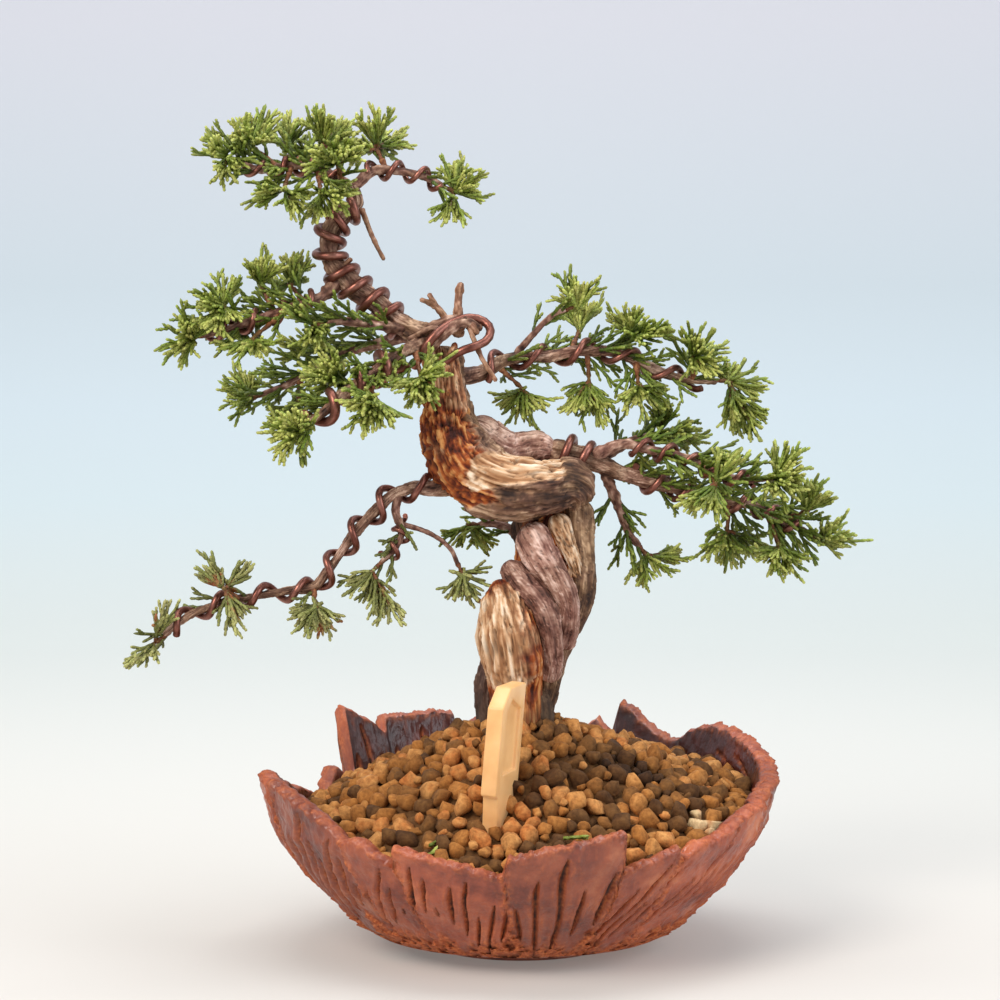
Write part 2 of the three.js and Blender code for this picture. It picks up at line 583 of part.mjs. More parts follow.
// ---------------------------------------------------------------- label

/** Moves a shape drawn in (distance back, height) to the label's place. */
function placeLabel(geometry) {
  return geometry
    .rotateX(Math.PI / 2)
    .rotateZ(Math.PI / 2)
    .rotateY(radians(LABEL.lean))
    .rotateZ(radians(LABEL.turn))
    .translate(...LABEL.place);
}

function labelPlate(outline, from, to) {
  const shape = new THREE.Shape(outline.map(([back, height]) => new THREE.Vector2(back, height)));
  const plate = new THREE.ExtrudeGeometry(shape, { depth: to - from, bevelEnabled: false });
  return solidOf(placeLabel(plate.translate(0, 0, from)));
}

function makeLabel() {
  const { thick, panel } = LABEL;
  return labelPlate(LABEL_OUTLINE, 0, thick)
    .subtract(labelPlate(LABEL_PANEL, thick - panel, thick + 1))
    .subtract(labelPlate(LABEL_PANEL, -1, panel));
}

/** The room that the label takes in the soil: its outline, a little larger all round. */
function makeLabelSpace() {
  const [middle, height] = [13, 18];
  const grow = 1.05;
  const wider = LABEL_OUTLINE.map(([back, up]) => [
    middle + (back - middle) * grow,
    height + (up - height) * grow,
  ]);
  return labelPlate(wider, -GAP, LABEL.thick + GAP);
}

// ---------------------------------------------------------------- wood

const branches = {};
for (const [name, points] of Object.entries(BRANCHES)) branches[name] = new Limb(points);

const wireOn = {};
for (const wire of WIRES) wireOn[wire[1]] = wire;

/** Angle of the wire round a branch at a share of the branch's length. */
function wireAngle([, , start, end, turns, , first], share) {
  return radians(first) + (2 * Math.PI * turns * (share - start)) / (end - start);
}

/** The share nearest to the wanted one where the wire is on the far side from a twig. */
function shareBehindWire(branchName, wanted, towards) {
  const wire = wireOn[branchName];
  if (!wire || wanted < wire[2] || wanted > wire[3]) return wanted;
  const { place, first, second } = branches[branchName].at(wanted);
  const out = towards.clone().sub(place);
  const twig = Math.atan2(out.dot(second), out.dot(first));
  const turn = (wire[3] - wire[2]) / wire[4];
  const off = (twig + Math.PI - wireAngle(wire, wanted)) / (2 * Math.PI);
  return wanted + (off - Math.round(off)) * turn;
}

/** Where a spray's green stem starts, and the twig of the branch that bears it. */
function sprayRoot([, branchName, share, fork]) {
  const branch = branches[branchName];
  if (!fork) {
    const { place, along } = branch.at(1);
    return { root: place.clone().addScaledVector(along, GAP), along };
  }
  const toward = vector(fork);
  const { place, radius } = branch.at(shareBehindWire(branchName, share, toward));
  const along = toward.clone().sub(place).normalize();
  const reach = Math.max(0.5 * place.distanceTo(toward), radius + 2.8);
  const end = place.clone().addScaledVector(along, reach);
  return { root: end.clone().addScaledVector(along, GAP), along, twig: [place, end] };
}

function makeWood(wireMarks) {
  const parts = [];
  for (const points of Object.values(TRUNK)) {
    const strand = new Limb(points);
    parts.push(strand.solid(5, points.length - 1));
    takeLimb("wood", strand, 8);
  }
  for (const [name, points] of Object.entries(BRANCHES)) {
    const fineness = wireOn[name] ? WIRED_FINENESS : BARE_FINENESS;
    parts.push(branches[name].solid(5, Math.round(fineness * points.length)));
    takeLimb("wood", branches[name], 2 * points.length);
  }
  for (const points of Object.values(STUBS)) {
    const stub = new Limb(points);
    parts.push(stub.solid(4, 2));
    takeLimb("wood", stub, 3);
  }
  for (const spray of SPRAYS) {
    const { twig } = sprayRoot(spray);
    if (!twig) continue;
    parts.push(bar(...twig, 1.1, 0.9, 3));
    take("wood", ...twig, 1.1);
  }
  const { x, y, radius, bottom, top } = ROOT_BALL;
  const ball = new THREE.CylinderGeometry(radius, radius, top - bottom, 16).rotateX(Math.PI / 2);
  parts.push(solidOf(ball.translate(x, y, (top + bottom) / 2)));
  const floor = new THREE.BoxGeometry(200, 200, 20).translate(0, 0, bottom - 10);
  return largestBody(wasm.Manifold.union(parts).subtract(solidOf(floor)).subtract(wireMarks));
}

// ---------------------------------------------------------------- wires

/** The helix of a wire round its branch, as straight lengths. */
function wirePoints(wire) {
  const [, branchName, start, end, turns, radius] = wire;
  const branch = branches[branchName];
  const count = Math.round(turns * WIRE_STEPS);
  const slack = Math.cos(Math.PI / WIRE_STEPS); // straight lengths cut the corner of the coil
  const points = [];
  for (let i = 0; i <= count; i++) {
    const share = THREE.MathUtils.lerp(start, end, i / count);
    const distance = (branch.at(share).radius + radius + GAP + WIRE_SLACK) / slack;
    points.push(branch.beside(share, wireAngle(wire, share), distance));
  }
  return points;
}

function makeWire(wire, radius) {
  const points = wirePoints(wire);
  const count = points.length - 1;
  const path = new THREE.CurvePath();
  for (let i = 0; i < count; i++) path.add(new THREE.LineCurve3(points[i], points[i + 1]));
  const section = new THREE.Shape();
  for (let i = 0; i < WIRE_SIDES; i++) {
    const angle = (2 * Math.PI * i) / WIRE_SIDES;
    const corner = [radius * Math.cos(angle), radius * Math.sin(angle)];
    if (i === 0) section.moveTo(...corner);
    else section.lineTo(...corner);
  }
  return solidOf(
    new THREE.ExtrudeGeometry(section, { steps: count, extrudePath: path, bevelEnabled: false }),
  );
}

// ---------------------------------------------------------------- sprays

/** The points of a spray: its root, its fork and the tips of its stems. */
function sprayPoints(spray) {
  const [, , , fork, ...tips] = spray;
  const { root, along } = sprayRoot(spray);
  const knot = fork ? vector(fork) : root.clone().addScaledVector(along, STEM.neck);
  return { root, knot, tips: tips.map(vector) };
}

function takeStems(spray) {
  const { root, knot, tips } = sprayPoints(spray);
  take(spray[0], root, knot, STEM.root);
  tips.forEach((tip, i) => take(spray[0] + i, knot.clone().lerp(tip, 0.15), tip, STEM.root));
}

/** The tip of a shoot that grows out of a stem's face, bent clear of other pieces, or null. */
function shootTip(piece, root, outward, along, reach) {
  for (let attempt = 0; attempt < SHOOT.tries; attempt++) {
    const lean = radians(SHOOT.lean - 6 * attempt);
    const length = reach * (1 - 0.07 * attempt);
    const tip = root
      .clone()
      .addScaledVector(along, length * Math.cos(lean))
      .addScaledVector(outward, length * Math.sin(lean))
      .addScaledVector(SKY, 0.1 * length);
    if (!isClear(piece, root.clone().lerp(tip, 0.3), tip, SHOOT.radius)) continue;
    take(piece, root, tip, SHOOT.radius);
    return tip;
  }
  return null;
}

/** One closed body that grows: each of its four-cornered faces can be drawn out further. */
class Plant {
  points = [];
  triangles = [];

  middle(corners) {
    const sum = corners.reduce((total, corner) => total.add(this.points[corner]), new THREE.Vector3());
    return sum.divideScalar(corners.length);
  }

  normal([a, b, , d]) {
    const [pa, pb, pd] = [this.points[a], this.points[b], this.points[d]];
    return pb.clone().sub(pa).cross(pd.clone().sub(pa)).normalize();
  }

  close([a, b, c, d]) {
    this.triangles.push(a, b, c, a, c, d);
  }

  /** Draws a face out into a point. */
  sharpen(corners, tip) {
    const end = this.points.push(tip) - 1;
    corners.forEach((corner, i) => this.triangles.push(corner, corners[(i + 1) % 4], end));
  }

  /** Four corners round a centre, in line with the corners of the face that they follow. */
  ring(face, centre, along, radius) {
    const first = this.points[face[0]].clone().sub(this.middle(face));
    first.addScaledVector(along, -first.dot(along)).normalize();
    const second = new THREE.Vector3().crossVectors(along, first);
    return [0, 1, 2, 3].map((k) => {
      const way = first.clone().multiplyScalar(Math.cos((k * Math.PI) / 2));
      way.addScaledVector(second, Math.sin((k * Math.PI) / 2));
      return this.points.push(centre.clone().addScaledVector(way, radius)) - 1;
    });
  }

  /** Draws a face out by one step: the four new sides, and the new end face. */
  extend(face, centre, along, radius) {
    const end = this.ring(face, centre, along, radius);
    const sides = face.map((corner, k) => [corner, face[(k + 1) % 4], end[(k + 1) % 4], end[k]]);
    return { end, sides };
  }

  /** Draws a face out into a green stem whose sides bear shoots. */
  stem(piece, face, to, random) {
    const from = this.middle(face);
    const along = to.clone().sub(from).normalize();
    const count = Math.max(2, Math.round(from.distanceTo(to) / SHOOT.step));
    let open = face;
    for (let i = 1; i <= count; i++) {
      const radius = THREE.MathUtils.lerp(STEM.root, STEM.tip, i / count);
      const { end, sides } = this.extend(open, from.clone().lerp(to, i / count), along, radius);
      sides.forEach((side, k) => {
        const reach = SHOOT.length * (1.1 - (0.35 * i) / count) * (0.8 + 0.4 * random());
        const grows = i > 1 && (i + k) % 2 === 0;
        const tip = grows && shootTip(piece, this.middle(side), this.normal(side), along, reach);
        if (tip) this.sharpen(side, tip);
        else this.close(side);
      });
      open = end;
    }
    this.sharpen(open, to.clone().addScaledVector(along, SHOOT.end));
  }

  solid() {
    return solidOf(new THREE.BufferGeometry().setFromPoints(this.points).setIndex(this.triangles));
  }
}

function makeSpray(spray, random) {
  const { root, knot, tips } = sprayPoints(spray);
  const along = knot.clone().sub(root).normalize();
  const plant = new Plant();
  const start = new THREE.Vector3().crossVectors(along, Math.abs(along.z) < 0.9 ? SKY : DEPTH);
  const second = new THREE.Vector3().crossVectors(along, start.normalize());
  for (const way of [start, second, start.clone().negate(), second.clone().negate()]) {
    plant.points.push(root.clone().addScaledVector(way, STEM.root));
  }
  plant.close([3, 2, 1, 0]);
  const neck = knot.clone().addScaledVector(along, -STEM.knot / 2);
  const stalk = plant.extend([0, 1, 2, 3], neck, along, STEM.root);
  stalk.sides.forEach((side) => plant.close(side));
  const head = knot.clone().addScaledVector(along, STEM.knot / 2);
  const fork = plant.extend(stalk.end, head, along, STEM.root);
  const free = [fork.end, ...fork.sides];
  const fit = (face, tip) => plant.normal(face).dot(tip.clone().sub(knot).normalize());
  const waiting = tips.map((tip, i) => ({ tip, piece: spray[0] + i }));
  while (waiting.length > 0) {
    const pairs = waiting.flatMap((stem) => free.map((face) => ({ stem, face, fit: fit(face, stem.tip) })));
    const { stem, face } = pairs.reduce((best, pair) => (pair.fit > best.fit ? pair : best));
    waiting.splice(waiting.indexOf(stem), 1);
    free.splice(free.indexOf(face), 1);
    plant.stem(stem.piece, face, stem.tip, random);
  }
  free.forEach((face) => plant.close(face));
  return plant.solid();
}

// ---------------------------------------------------------------- the model

const finish = (color, roughness, metalness = 0) =>
  new THREE.MeshStandardMaterial({ color, roughness, metalness, flatShading: true });
const firedClay = finish(0x7a4336, 0.5);
const bakedGranules = finish(0xb1804d, 0.95);
const blackNet = finish(0x26282a, 0.6);
const creamPlastic = finish(0xf4d89a, 0.4);
const juniperWood = finish(0x94705a, 0.85);
const copperAluminium = finish(0x8a5c4e, 0.35, 1);
const juniperLeaf = finish(0x6f9438, 0.6);
const paleLeaf = finish(0x8a8f55, 0.65);

const bonsai = new THREE.Group();
const net = makeNet();
const netBox = new THREE.BoxGeometry(MESH_SIZE[0] + 2 * GAP, MESH_SIZE[1] + 2 * GAP, MESH_SIZE[2] + GAP);
const netSpace = solidOf(netBox.translate(0, 0, BOWL_FLOOR + GAP + (MESH_SIZE[2] + GAP) / 2));
addPiece(bonsai, "pot", makeBowl(), firedClay);
addPiece(bonsai, "drain_mesh", net, blackNet);
addPiece(bonsai, "soil", makeSoil(netSpace, makeLabelSpace()), bakedGranules);
addPiece(bonsai, "plant_label", makeLabel(), creamPlastic);
const wireMarks = wasm.Manifold.union(WIRES.map((wire) => makeWire(wire, wire[5] + GAP)));
addPiece(bonsai, "wood", makeWood(wireMarks), juniperWood);
for (const wire of WIRES) {
  addPiece(bonsai, wire[0], makeWire(wire, wire[5]), copperAluminium);
  const points = wirePoints(wire);
  for (let i = 1; i < points.length; i++) take(wire[0], points[i - 1], points[i], wire[5]);
}

SPRAYS.forEach(takeStems);
const random = makeRandom(SEED);
for (const spray of SPRAYS) {
  const leaf = spray[0].startsWith("far") ? paleLeaf : juniperLeaf;
  addPiece(bonsai, "spray_" + spray[0], makeSpray(spray, random), leaf);
}

export default bonsai;
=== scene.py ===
# %% [markdown]
# # A juniper bonsai in a bowl of torn clay slabs
# This lesson builds a small wired juniper in Blender, around a frame of exact solids. The frame
# says where each piece stands and how large it is. What is made here is the finish: bark, bare
# wood, green sprays, coiled wire, baked clay granules and fired clay. The lists of the tree and the
# bowl are in millimetres, because that is how such small things are measured, and are turned to
# metres when a mesh is made. The studio round them is in metres.

# %% Load the frame
import math
import random

import bmesh
import bpy
import numpy as np
from mathutils import Matrix, Vector, noise


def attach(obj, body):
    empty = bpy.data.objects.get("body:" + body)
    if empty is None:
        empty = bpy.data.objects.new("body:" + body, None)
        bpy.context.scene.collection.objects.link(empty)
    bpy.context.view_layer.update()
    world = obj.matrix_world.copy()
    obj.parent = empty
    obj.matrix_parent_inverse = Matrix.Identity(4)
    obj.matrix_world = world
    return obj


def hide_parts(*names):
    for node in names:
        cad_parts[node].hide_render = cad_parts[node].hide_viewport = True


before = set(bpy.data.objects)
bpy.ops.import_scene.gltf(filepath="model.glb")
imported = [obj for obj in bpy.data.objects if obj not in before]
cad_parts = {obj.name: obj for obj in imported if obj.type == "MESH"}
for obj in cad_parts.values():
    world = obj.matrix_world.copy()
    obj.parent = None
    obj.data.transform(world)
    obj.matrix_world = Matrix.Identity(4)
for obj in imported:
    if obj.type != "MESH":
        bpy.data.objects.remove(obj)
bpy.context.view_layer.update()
MM = 0.001

# %% [markdown]
# ## The camera
# The picture was taken from just above the trunk's middle with a long lens, looking down by a
# degree and a half. A long lens from far off keeps the bowl's ellipse flat, so the lens and the
# distance are set first: a shape can only be compared with a picture from the right place.

# %% The camera
CAMERA_PLACE = (-6.86, -781.6, 170.4)
CAMERA_PITCH = 1.43  # degrees down
CAMERA_LENS = 82.5  # mm
CAMERA_SENSOR = 36

bpy.ops.object.camera_add(
    location=[x * MM for x in CAMERA_PLACE],
    rotation=(math.radians(90 - CAMERA_PITCH), 0, 0),
)
camera = bpy.context.object
camera.data.lens = CAMERA_LENS
camera.data.sensor_width = CAMERA_SENSOR
bpy.context.scene.camera = camera
print("camera, metres from the trunk:", round(abs(camera.location.y), 2))

# %% [markdown]
# ## Small helpers
# An operator acts on all that is selected, so one helper selects a single object, and another adds
# one and names it. Every finished piece gets its material, rides on the object's one body and may
# stand for nodes of the frame. Its object stays at the origin, with its place in its mesh.

# %% Small helpers
def only(piece):
    """Selects one object and nothing else."""
    bpy.ops.object.select_all(action="DESELECT")
    piece.select_set(True)
    bpy.context.view_layer.objects.active = piece


def added(name, operator, **settings):
    """Runs an operator that adds an object, and names the object."""
    bpy.ops.object.select_all(action="DESELECT")
    operator(**settings)
    piece = bpy.context.object
    piece.name = name
    return piece


def edit_all(piece):
    """Starts edit mode on a whole mesh."""
    only(piece)
    bpy.ops.object.mode_set(mode="EDIT")
    bpy.ops.mesh.select_all(action="SELECT")


def end_edit():
    """Turns all faces outward and ends edit mode."""
    bpy.ops.mesh.select_all(action="SELECT")
    bpy.ops.mesh.normals_make_consistent(inside=False)
    bpy.ops.object.mode_set(mode="OBJECT")


def settle(piece, material, slot, *nodes):
    """The piece takes its material, and its place for the nodes of the frame that it stands for."""
    piece.data.materials.append(material)
    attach(piece, "root")
    if nodes:
        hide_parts(*nodes)


def attribute(mesh, name, values):
    """A number for each corner point of a mesh, which a material can read."""
    layer = mesh.attributes.new(name, "FLOAT", "POINT")
    layer.data.foreach_set("value", np.asarray(values, np.float32))


def corners_of(piece):
    """The corner points of a mesh, one in a row."""
    flat = np.empty(len(piece.data.vertices) * 3)
    piece.data.vertices.foreach_get("co", flat)
    return flat.reshape(-1, 3)


def count_triangles(piece):
    """How many triangles a mesh has once all its faces are cut."""
    return sum(len(face.vertices) - 2 for face in piece.data.polygons)


# %% [markdown]
# ## Colours and material nodes
# Colours are written as sRGB hex values, as a picture editor shows them, and one function turns
# them to the linear values that a shader works in. One small function adds a node with its
# settings and links. A few shorter ones name the nodes that come again and again, so that each
# material below reads as a short list.

# %% Colours and nodes
def colour(code):
    """An sRGB hex value as linear red, green, blue and alpha."""
    parts = [int(code[i : i + 2], 16) / 255 for i in (1, 3, 5)]
    return [x / 12.92 if x <= 0.04045 else ((x + 0.055) / 1.055) ** 2.4 for x in parts] + [1.0]


def feed(socket, value):
    """Gives an input another node's output, a hex colour or a plain value."""
    if isinstance(value, bpy.types.NodeSocket):
        socket.id_data.links.new(value, socket)
    else:
        socket.default_value = colour(value) if isinstance(value, str) else value


def add(tree, kind, inputs=None, **settings):
    """Adds a node, with what its inputs are fed and how it is set."""
    node = tree.nodes.new(kind)
    for key, value in settings.items():
        setattr(node, key, value)
    for key, value in (inputs or {}).items():
        feed(node.inputs[key], value)
    return node


def dress(shader, **sockets):
    """Feeds the shader's inputs. An underscore stands for a space in an input's name."""
    for key, value in sockets.items():
        feed(shader.inputs[key.replace("_", " ")], value)


def new_material(name, roughness, **sockets):
    """A material with its shader's plain values set. Returns it with its tree and shader."""
    material = bpy.data.materials.new(name)
    material.use_nodes = True
    shader = material.node_tree.nodes["Principled BSDF"]
    dress(shader, Roughness=roughness, **sockets)
    return material, material.node_tree, shader


def ramp(tree, factor, stops):
    """A colour ramp with (place, hex) stops."""
    node = add(tree, "ShaderNodeValToRGB", {"Fac": factor})
    band = node.color_ramp
    while len(band.elements) < len(stops):
        band.elements.new(0.5)
    for element, (place, code) in zip(band.elements, stops):
        element.position = place
        element.color = colour(code)
    return node.outputs["Color"]


def mark(tree, name):
    """The number that a mesh carries under a name."""
    return add(tree, "ShaderNodeAttribute", attribute_name=name).outputs["Fac"]


# %% Nodes that come again and again
def clouds(tree, where, scale, detail, roughness=0.5):
    """Noise from 0 to 1. With a place in metres, a scale of 1000 gives lumps of a millimetre."""
    inputs = {"Vector": where, "Scale": scale, "Detail": detail, "Roughness": roughness}
    return add(tree, "ShaderNodeTexNoise", inputs).outputs["Fac"]


def reckon(tree, operation, *values, clamp=False):
    """One step of arithmetic with outputs or plain numbers."""
    inputs = dict(enumerate(values))
    return add(tree, "ShaderNodeMath", inputs, operation=operation, use_clamp=clamp).outputs[0]


def spread(tree, value, low, high, start=0.0, end=1.0):
    """A number that goes from low to high while the value goes from start to end."""
    inputs = {"Value": value, "From Min": start, "From Max": end, "To Min": low, "To Max": high}
    return add(tree, "ShaderNodeMapRange", inputs).outputs[0]


def blend(tree, factor, first, second, **settings):
    """A colour between two others."""
    inputs = {0: factor, 6: first, 7: second}
    return add(tree, "ShaderNodeMix", inputs, data_type="RGBA", **settings).outputs[2]


def bumps(tree, height, strength, distance, **under):
    """A bump map. Normal=... lays it over another one."""
    inputs = {"Height": height, "Strength": strength, "Distance": distance}
    return add(tree, "ShaderNodeBump", inputs | under).outputs[0]


# %% [markdown]
# ## The backdrop and the light
# A photographer's paper sweep: the floor bends up into the wall with no edge, so no horizon cuts
# through the tree. Its colour goes from a warm grey in front over a pale blue to a lilac grey high
# up, and it has a faint glow of its own colour, painted light that stands for a large bright studio.
# The light is soft and comes from large panels: a bright one high on the left, a weaker one on the
# right, and one from above, so that bark and wire get long soft highlights and no hard shadows.

# %% The backdrop
SWEEP_WIDTH = 8.0  # all in metres
FLOOR_FRONT = -3.0
FLOOR_BACK = 1.2
BEND_RADIUS = 0.9
WALL_HEIGHT = 2.6
SWEEP_SINK = 0.0004  # the bowl's foot stands just above the paper
FAR_RISE = 0.05  # each metre of floor counts as so much height on the wall

floor_length = FLOOR_BACK - FLOOR_FRONT
bend_length = BEND_RADIUS * math.pi / 2
sweep = added("paper_sweep", bpy.ops.mesh.primitive_grid_add, x_subdivisions=1, y_subdivisions=80, size=2)
for vertex in sweep.data.vertices:
    run = (vertex.co.y + 1) / 2 * (floor_length + bend_length + WALL_HEIGHT)
    bend = min(max(run - floor_length, 0), bend_length) / BEND_RADIUS
    up = max(run - floor_length - bend_length, 0)
    vertex.co = (
        vertex.co.x * SWEEP_WIDTH / 2,
        FLOOR_FRONT + min(run, floor_length) + BEND_RADIUS * math.sin(bend),
        BEND_RADIUS * (1 - math.cos(bend)) + up - SWEEP_SINK,
    )
bpy.ops.object.shade_smooth()

# the faint glow in the paper's own colour is painted light
paper, tree, shader = new_material("pale_matt_backdrop_paper", 0.95, Emission_Strength=0.3)
place = add(tree, "ShaderNodeSeparateXYZ", {0: add(tree, "ShaderNodeTexCoord").outputs["Object"]}).outputs
paint = ramp(tree, reckon(tree, "MULTIPLY_ADD", place["Y"], FAR_RISE, place["Z"]), [
    (0.0, "#BFBBB6"), (0.06, "#D6DAD6"), (0.19, "#D0DBDE"), (0.3, "#CED9DF"), (0.45, "#C9D2D8"),
    (0.8, "#D5D4DB"),
])
dress(shader, Base_Color=paint, Emission_Color=paint)
sweep.data.materials.append(paper)
print("paper sweep, corners:", len(sweep.data.vertices))

# %% The light
PANELS = [
    # (name, place in metres, size in metres, power in watts, colour)
    ("panel_left", (-0.75, -0.95, 0.95), 0.7, 15.5, "#FFF6EC"),
    ("panel_right", (0.95, -0.55, 0.6), 0.8, 5.5, "#F6F8FF"),
    ("panel_top", (0.0, 0.1, 1.2), 0.8, 8.0, "#FFFFFF"),
]
TREE_MIDDLE = Vector((0, 0, 0.14))
SKY_STRENGTH = 0.7
for name, place, size, power, tint in PANELS:
    aim = (TREE_MIDDLE - Vector(place)).to_track_quat("-Z", "Y").to_euler()
    panel = added(name, bpy.ops.object.light_add, type="AREA", location=place, rotation=aim)
    panel.data.size = size
    panel.data.energy = power
    panel.data.color = colour(tint)[:3]

world = bpy.data.worlds.new("pale_studio")
bpy.context.scene.world = world
world.use_nodes = True
dress(world.node_tree.nodes["Background"], Color="#E4EDF3", Strength=SKY_STRENGTH)
bpy.context.scene.view_settings.view_transform = "Standard"
print("panels:", len(PANELS))

# %% [markdown]
# ## A line through points, and a grid rolled round it
# Trunk, branches and bowl have the same root idea. A limb is a smooth line through a few points,
# each with its radius. A flat grid is then rolled into a tube like a sheet of bark, and the seam is
# merged. The grid keeps its UV map, scaled to its real size, so wood grain can follow the limb.
# A tube from a curve object would be quicker, but its section is a plain circle.

# %% A smooth line through points
DEPTH = np.array([0.0, 1.0, 0.0])  # no branch runs along this direction
FINE = 40  # samples between two points of a line


class Limb:
    """A smooth line through [x, y, z, radius] points."""

    def __init__(self, points):
        self.rows = np.array(points, float)
        self.spots = np.linspace(0, 1, FINE * (len(points) - 1) + 1)
        steps = np.linalg.norm(np.diff(self.point(self.spots), axis=0), axis=1)
        self.reach = np.concatenate([[0], np.cumsum(steps)])
        self.length = self.reach[-1]

    def point(self, spot):
        """Points at spots from 0 to 1: each point's slope is half the step between its neighbours."""
        rows = self.rows[:, :3]
        padded = np.vstack([2 * rows[0] - rows[1], rows, 2 * rows[-1] - rows[-2]])
        spot = np.clip(spot, 0, 1) * (len(rows) - 1)
        index = np.minimum(spot.astype(int), len(rows) - 2)
        t = (spot - index)[:, None]
        before, start, end, after = (padded[index + k] for k in range(4))
        slopes = (t**3 - 2 * t**2 + t) * (end - before) / 2 + (t**3 - t**2) * (after - start) / 2
        return start + (3 * t**2 - 2 * t**3) * (end - start) + slopes

    def at(self, share):
        """Place, direction, radius and two sideways directions at shares of the length."""
        share = np.atleast_1d(np.asarray(share, float))
        spot = np.interp(share * self.length, self.reach, self.spots)
        small = 1e-4
        along = unit(self.point(spot + small) - self.point(spot - small))
        radius = np.interp(spot, np.linspace(0, 1, len(self.rows)), self.rows[:, 3])
        first = unit(DEPTH - along * (along @ DEPTH)[:, None])
        return self.point(spot), along, radius, first, np.cross(first, along)


def unit(vectors):
    return vectors / np.linalg.norm(vectors, axis=-1, keepdims=True)


# %% A grid that is rolled into shape
SEAM = 1e-6  # metres between corners that are the same one


def rolled_grid(name, columns, rows):
    """A flat grid, with each vertex's share of the way round and along."""
    sides = {"x_subdivisions": columns, "y_subdivisions": rows}
    piece = added(name, bpy.ops.mesh.primitive_grid_add, size=2, **sides)
    flat = (corners_of(piece) + 1) / 2
    return piece, flat[:, 0], flat[:, 1]


def put_vertices(piece, points, uv_size=None):
    """Moves the vertices to points in mm, sizes the UV map in metres, and closes seam and poles."""
    mesh = piece.data
    mesh.vertices.foreach_set("co", (points * MM).ravel())
    if uv_size:
        layer = mesh.uv_layers[0]
        flat = np.empty(len(layer.uv) * 2)
        layer.uv.foreach_get("vector", flat)
        layer.uv.foreach_set("vector", (flat.reshape(-1, 2) * np.array(uv_size) * MM).ravel())
    edit_all(piece)
    bpy.ops.mesh.remove_doubles(threshold=SEAM)
    end_edit()
    bpy.ops.object.shade_smooth()


# %% Noise that follows a limb
def fractal(points, octaves=4):
    """Fractal noise, from about -1 to 1, at each row of points."""
    return np.array([noise.fractal(point, 1.0, 2.0, octaves) for point in points.tolist()])


def on_limb(turn, along, radius, spacing, stretch, seed):
    """Places in a noise that is stretched along a limb, with no seam round it."""
    across = radius / spacing
    drawn_out = along / (spacing * stretch)
    return np.stack([across * np.cos(turn), across * np.sin(turn) + seed, drawn_out], axis=1)


# %% [markdown]
# ## The bowl
# The bowl was pressed together from torn slabs of red clay: each slab stands a little proud of the
# next, its rim is torn, and deep lines are cut down its face. A wash of iron slip makes the smooth
# faces red-brown and satin, and the cut lines and torn edges stay raw and orange. The slabs are
# listed by angle with the height of their rims. A grid is rolled round the bowl's axis, and each
# column follows its own slab, so one closed shell has all the steps. A carved solid would need far
# more work for the same look.

# %% The bowl's profile and its slabs
BOWL_WALL = 6
BOWL_FLOOR = 7
BOWL_PROFILE = [
    # [height, outer radius]
    [0, 32], [4, 33.5], [5, 50], [9.5, 56.5], [26, 72], [42, 82.5], [75, 91],
]
SLAB_FADE = [6, 30]  # the slabs begin to stand proud at the first height, fully at the second
RIM = [
    # [angle in degrees from +X, height of the rim, how far the slab stands proud]
    [0, 58.5, 1], [8, 60, 1.2], [15.5, 63, 1.4], [25.5, 65.5, 1.6], [35.5, 67, 1.9], [43, 64, 2.2],
    [45.5, 61, 2.4], [46.5, 61, 0], [52, 62, 0.2], [59, 68.5, 0.8], [63.8, 72.5, 2], [65, 59.5, 0.2],
    [69.5, 66.5, 0.8], [75, 60, 1.8], [76, 62, 0], [84, 66, 0.6], [92, 67.5, 1.2], [100, 66, 1.8],
    [105.5, 59, 2.2], [107, 68.5, 0.2], [116, 68.5, 1], [125.5, 67.5, 2], [126.5, 62.5, 0],
    [131.5, 68, 0.8], [137.5, 72.5, 1.8], [139, 46.5, 0.4], [145.5, 53, 0.8], [150.5, 42, 1.6],
    [158, 46, 0.2], [169, 50, 0.8], [180, 55.5, 1.6], [189, 59, 2.2], [195, 59.5, 2.4], [207, 57, 1.8],
    [218, 52, 1], [226, 44, 0], [227.5, 44, 2.2], [232, 46, 2], [240.5, 36, 0.6], [241.8, 44.5, 2.6],
    [253, 40.5, 1.7], [265.5, 36, 0.8], [267, 43, 2.8], [278, 46, 2.5], [292, 50, 2], [293.3, 36, 0.2],
    [300, 39.5, 0.8], [307, 43, 1.2], [308.3, 38, 0.2], [312, 43, 0.6], [320, 44.5, 1],
    [329, 50.5, 1.6], [337, 52, 2], [338.5, 53, 0.4], [349, 56.5, 0.8],
]


def rim_at(degrees):
    """Height of the rim, and how far its slab stands proud, at angles in degrees."""
    closed = np.array(RIM + [[360, RIM[0][1], RIM[0][2]]])
    angle = np.mod(degrees, 360)
    return np.interp(angle, closed[:, 0], closed[:, 1]), np.interp(angle, closed[:, 0], closed[:, 2])


def outer_radius(height, proud):
    """Radius of the bowl's outside at a height."""
    profile = np.array(BOWL_PROFILE, float)
    stands = np.clip((height - SLAB_FADE[0]) / (SLAB_FADE[1] - SLAB_FADE[0]), 0, 1)
    return np.interp(height, profile[:, 0], profile[:, 1]) + proud * stands


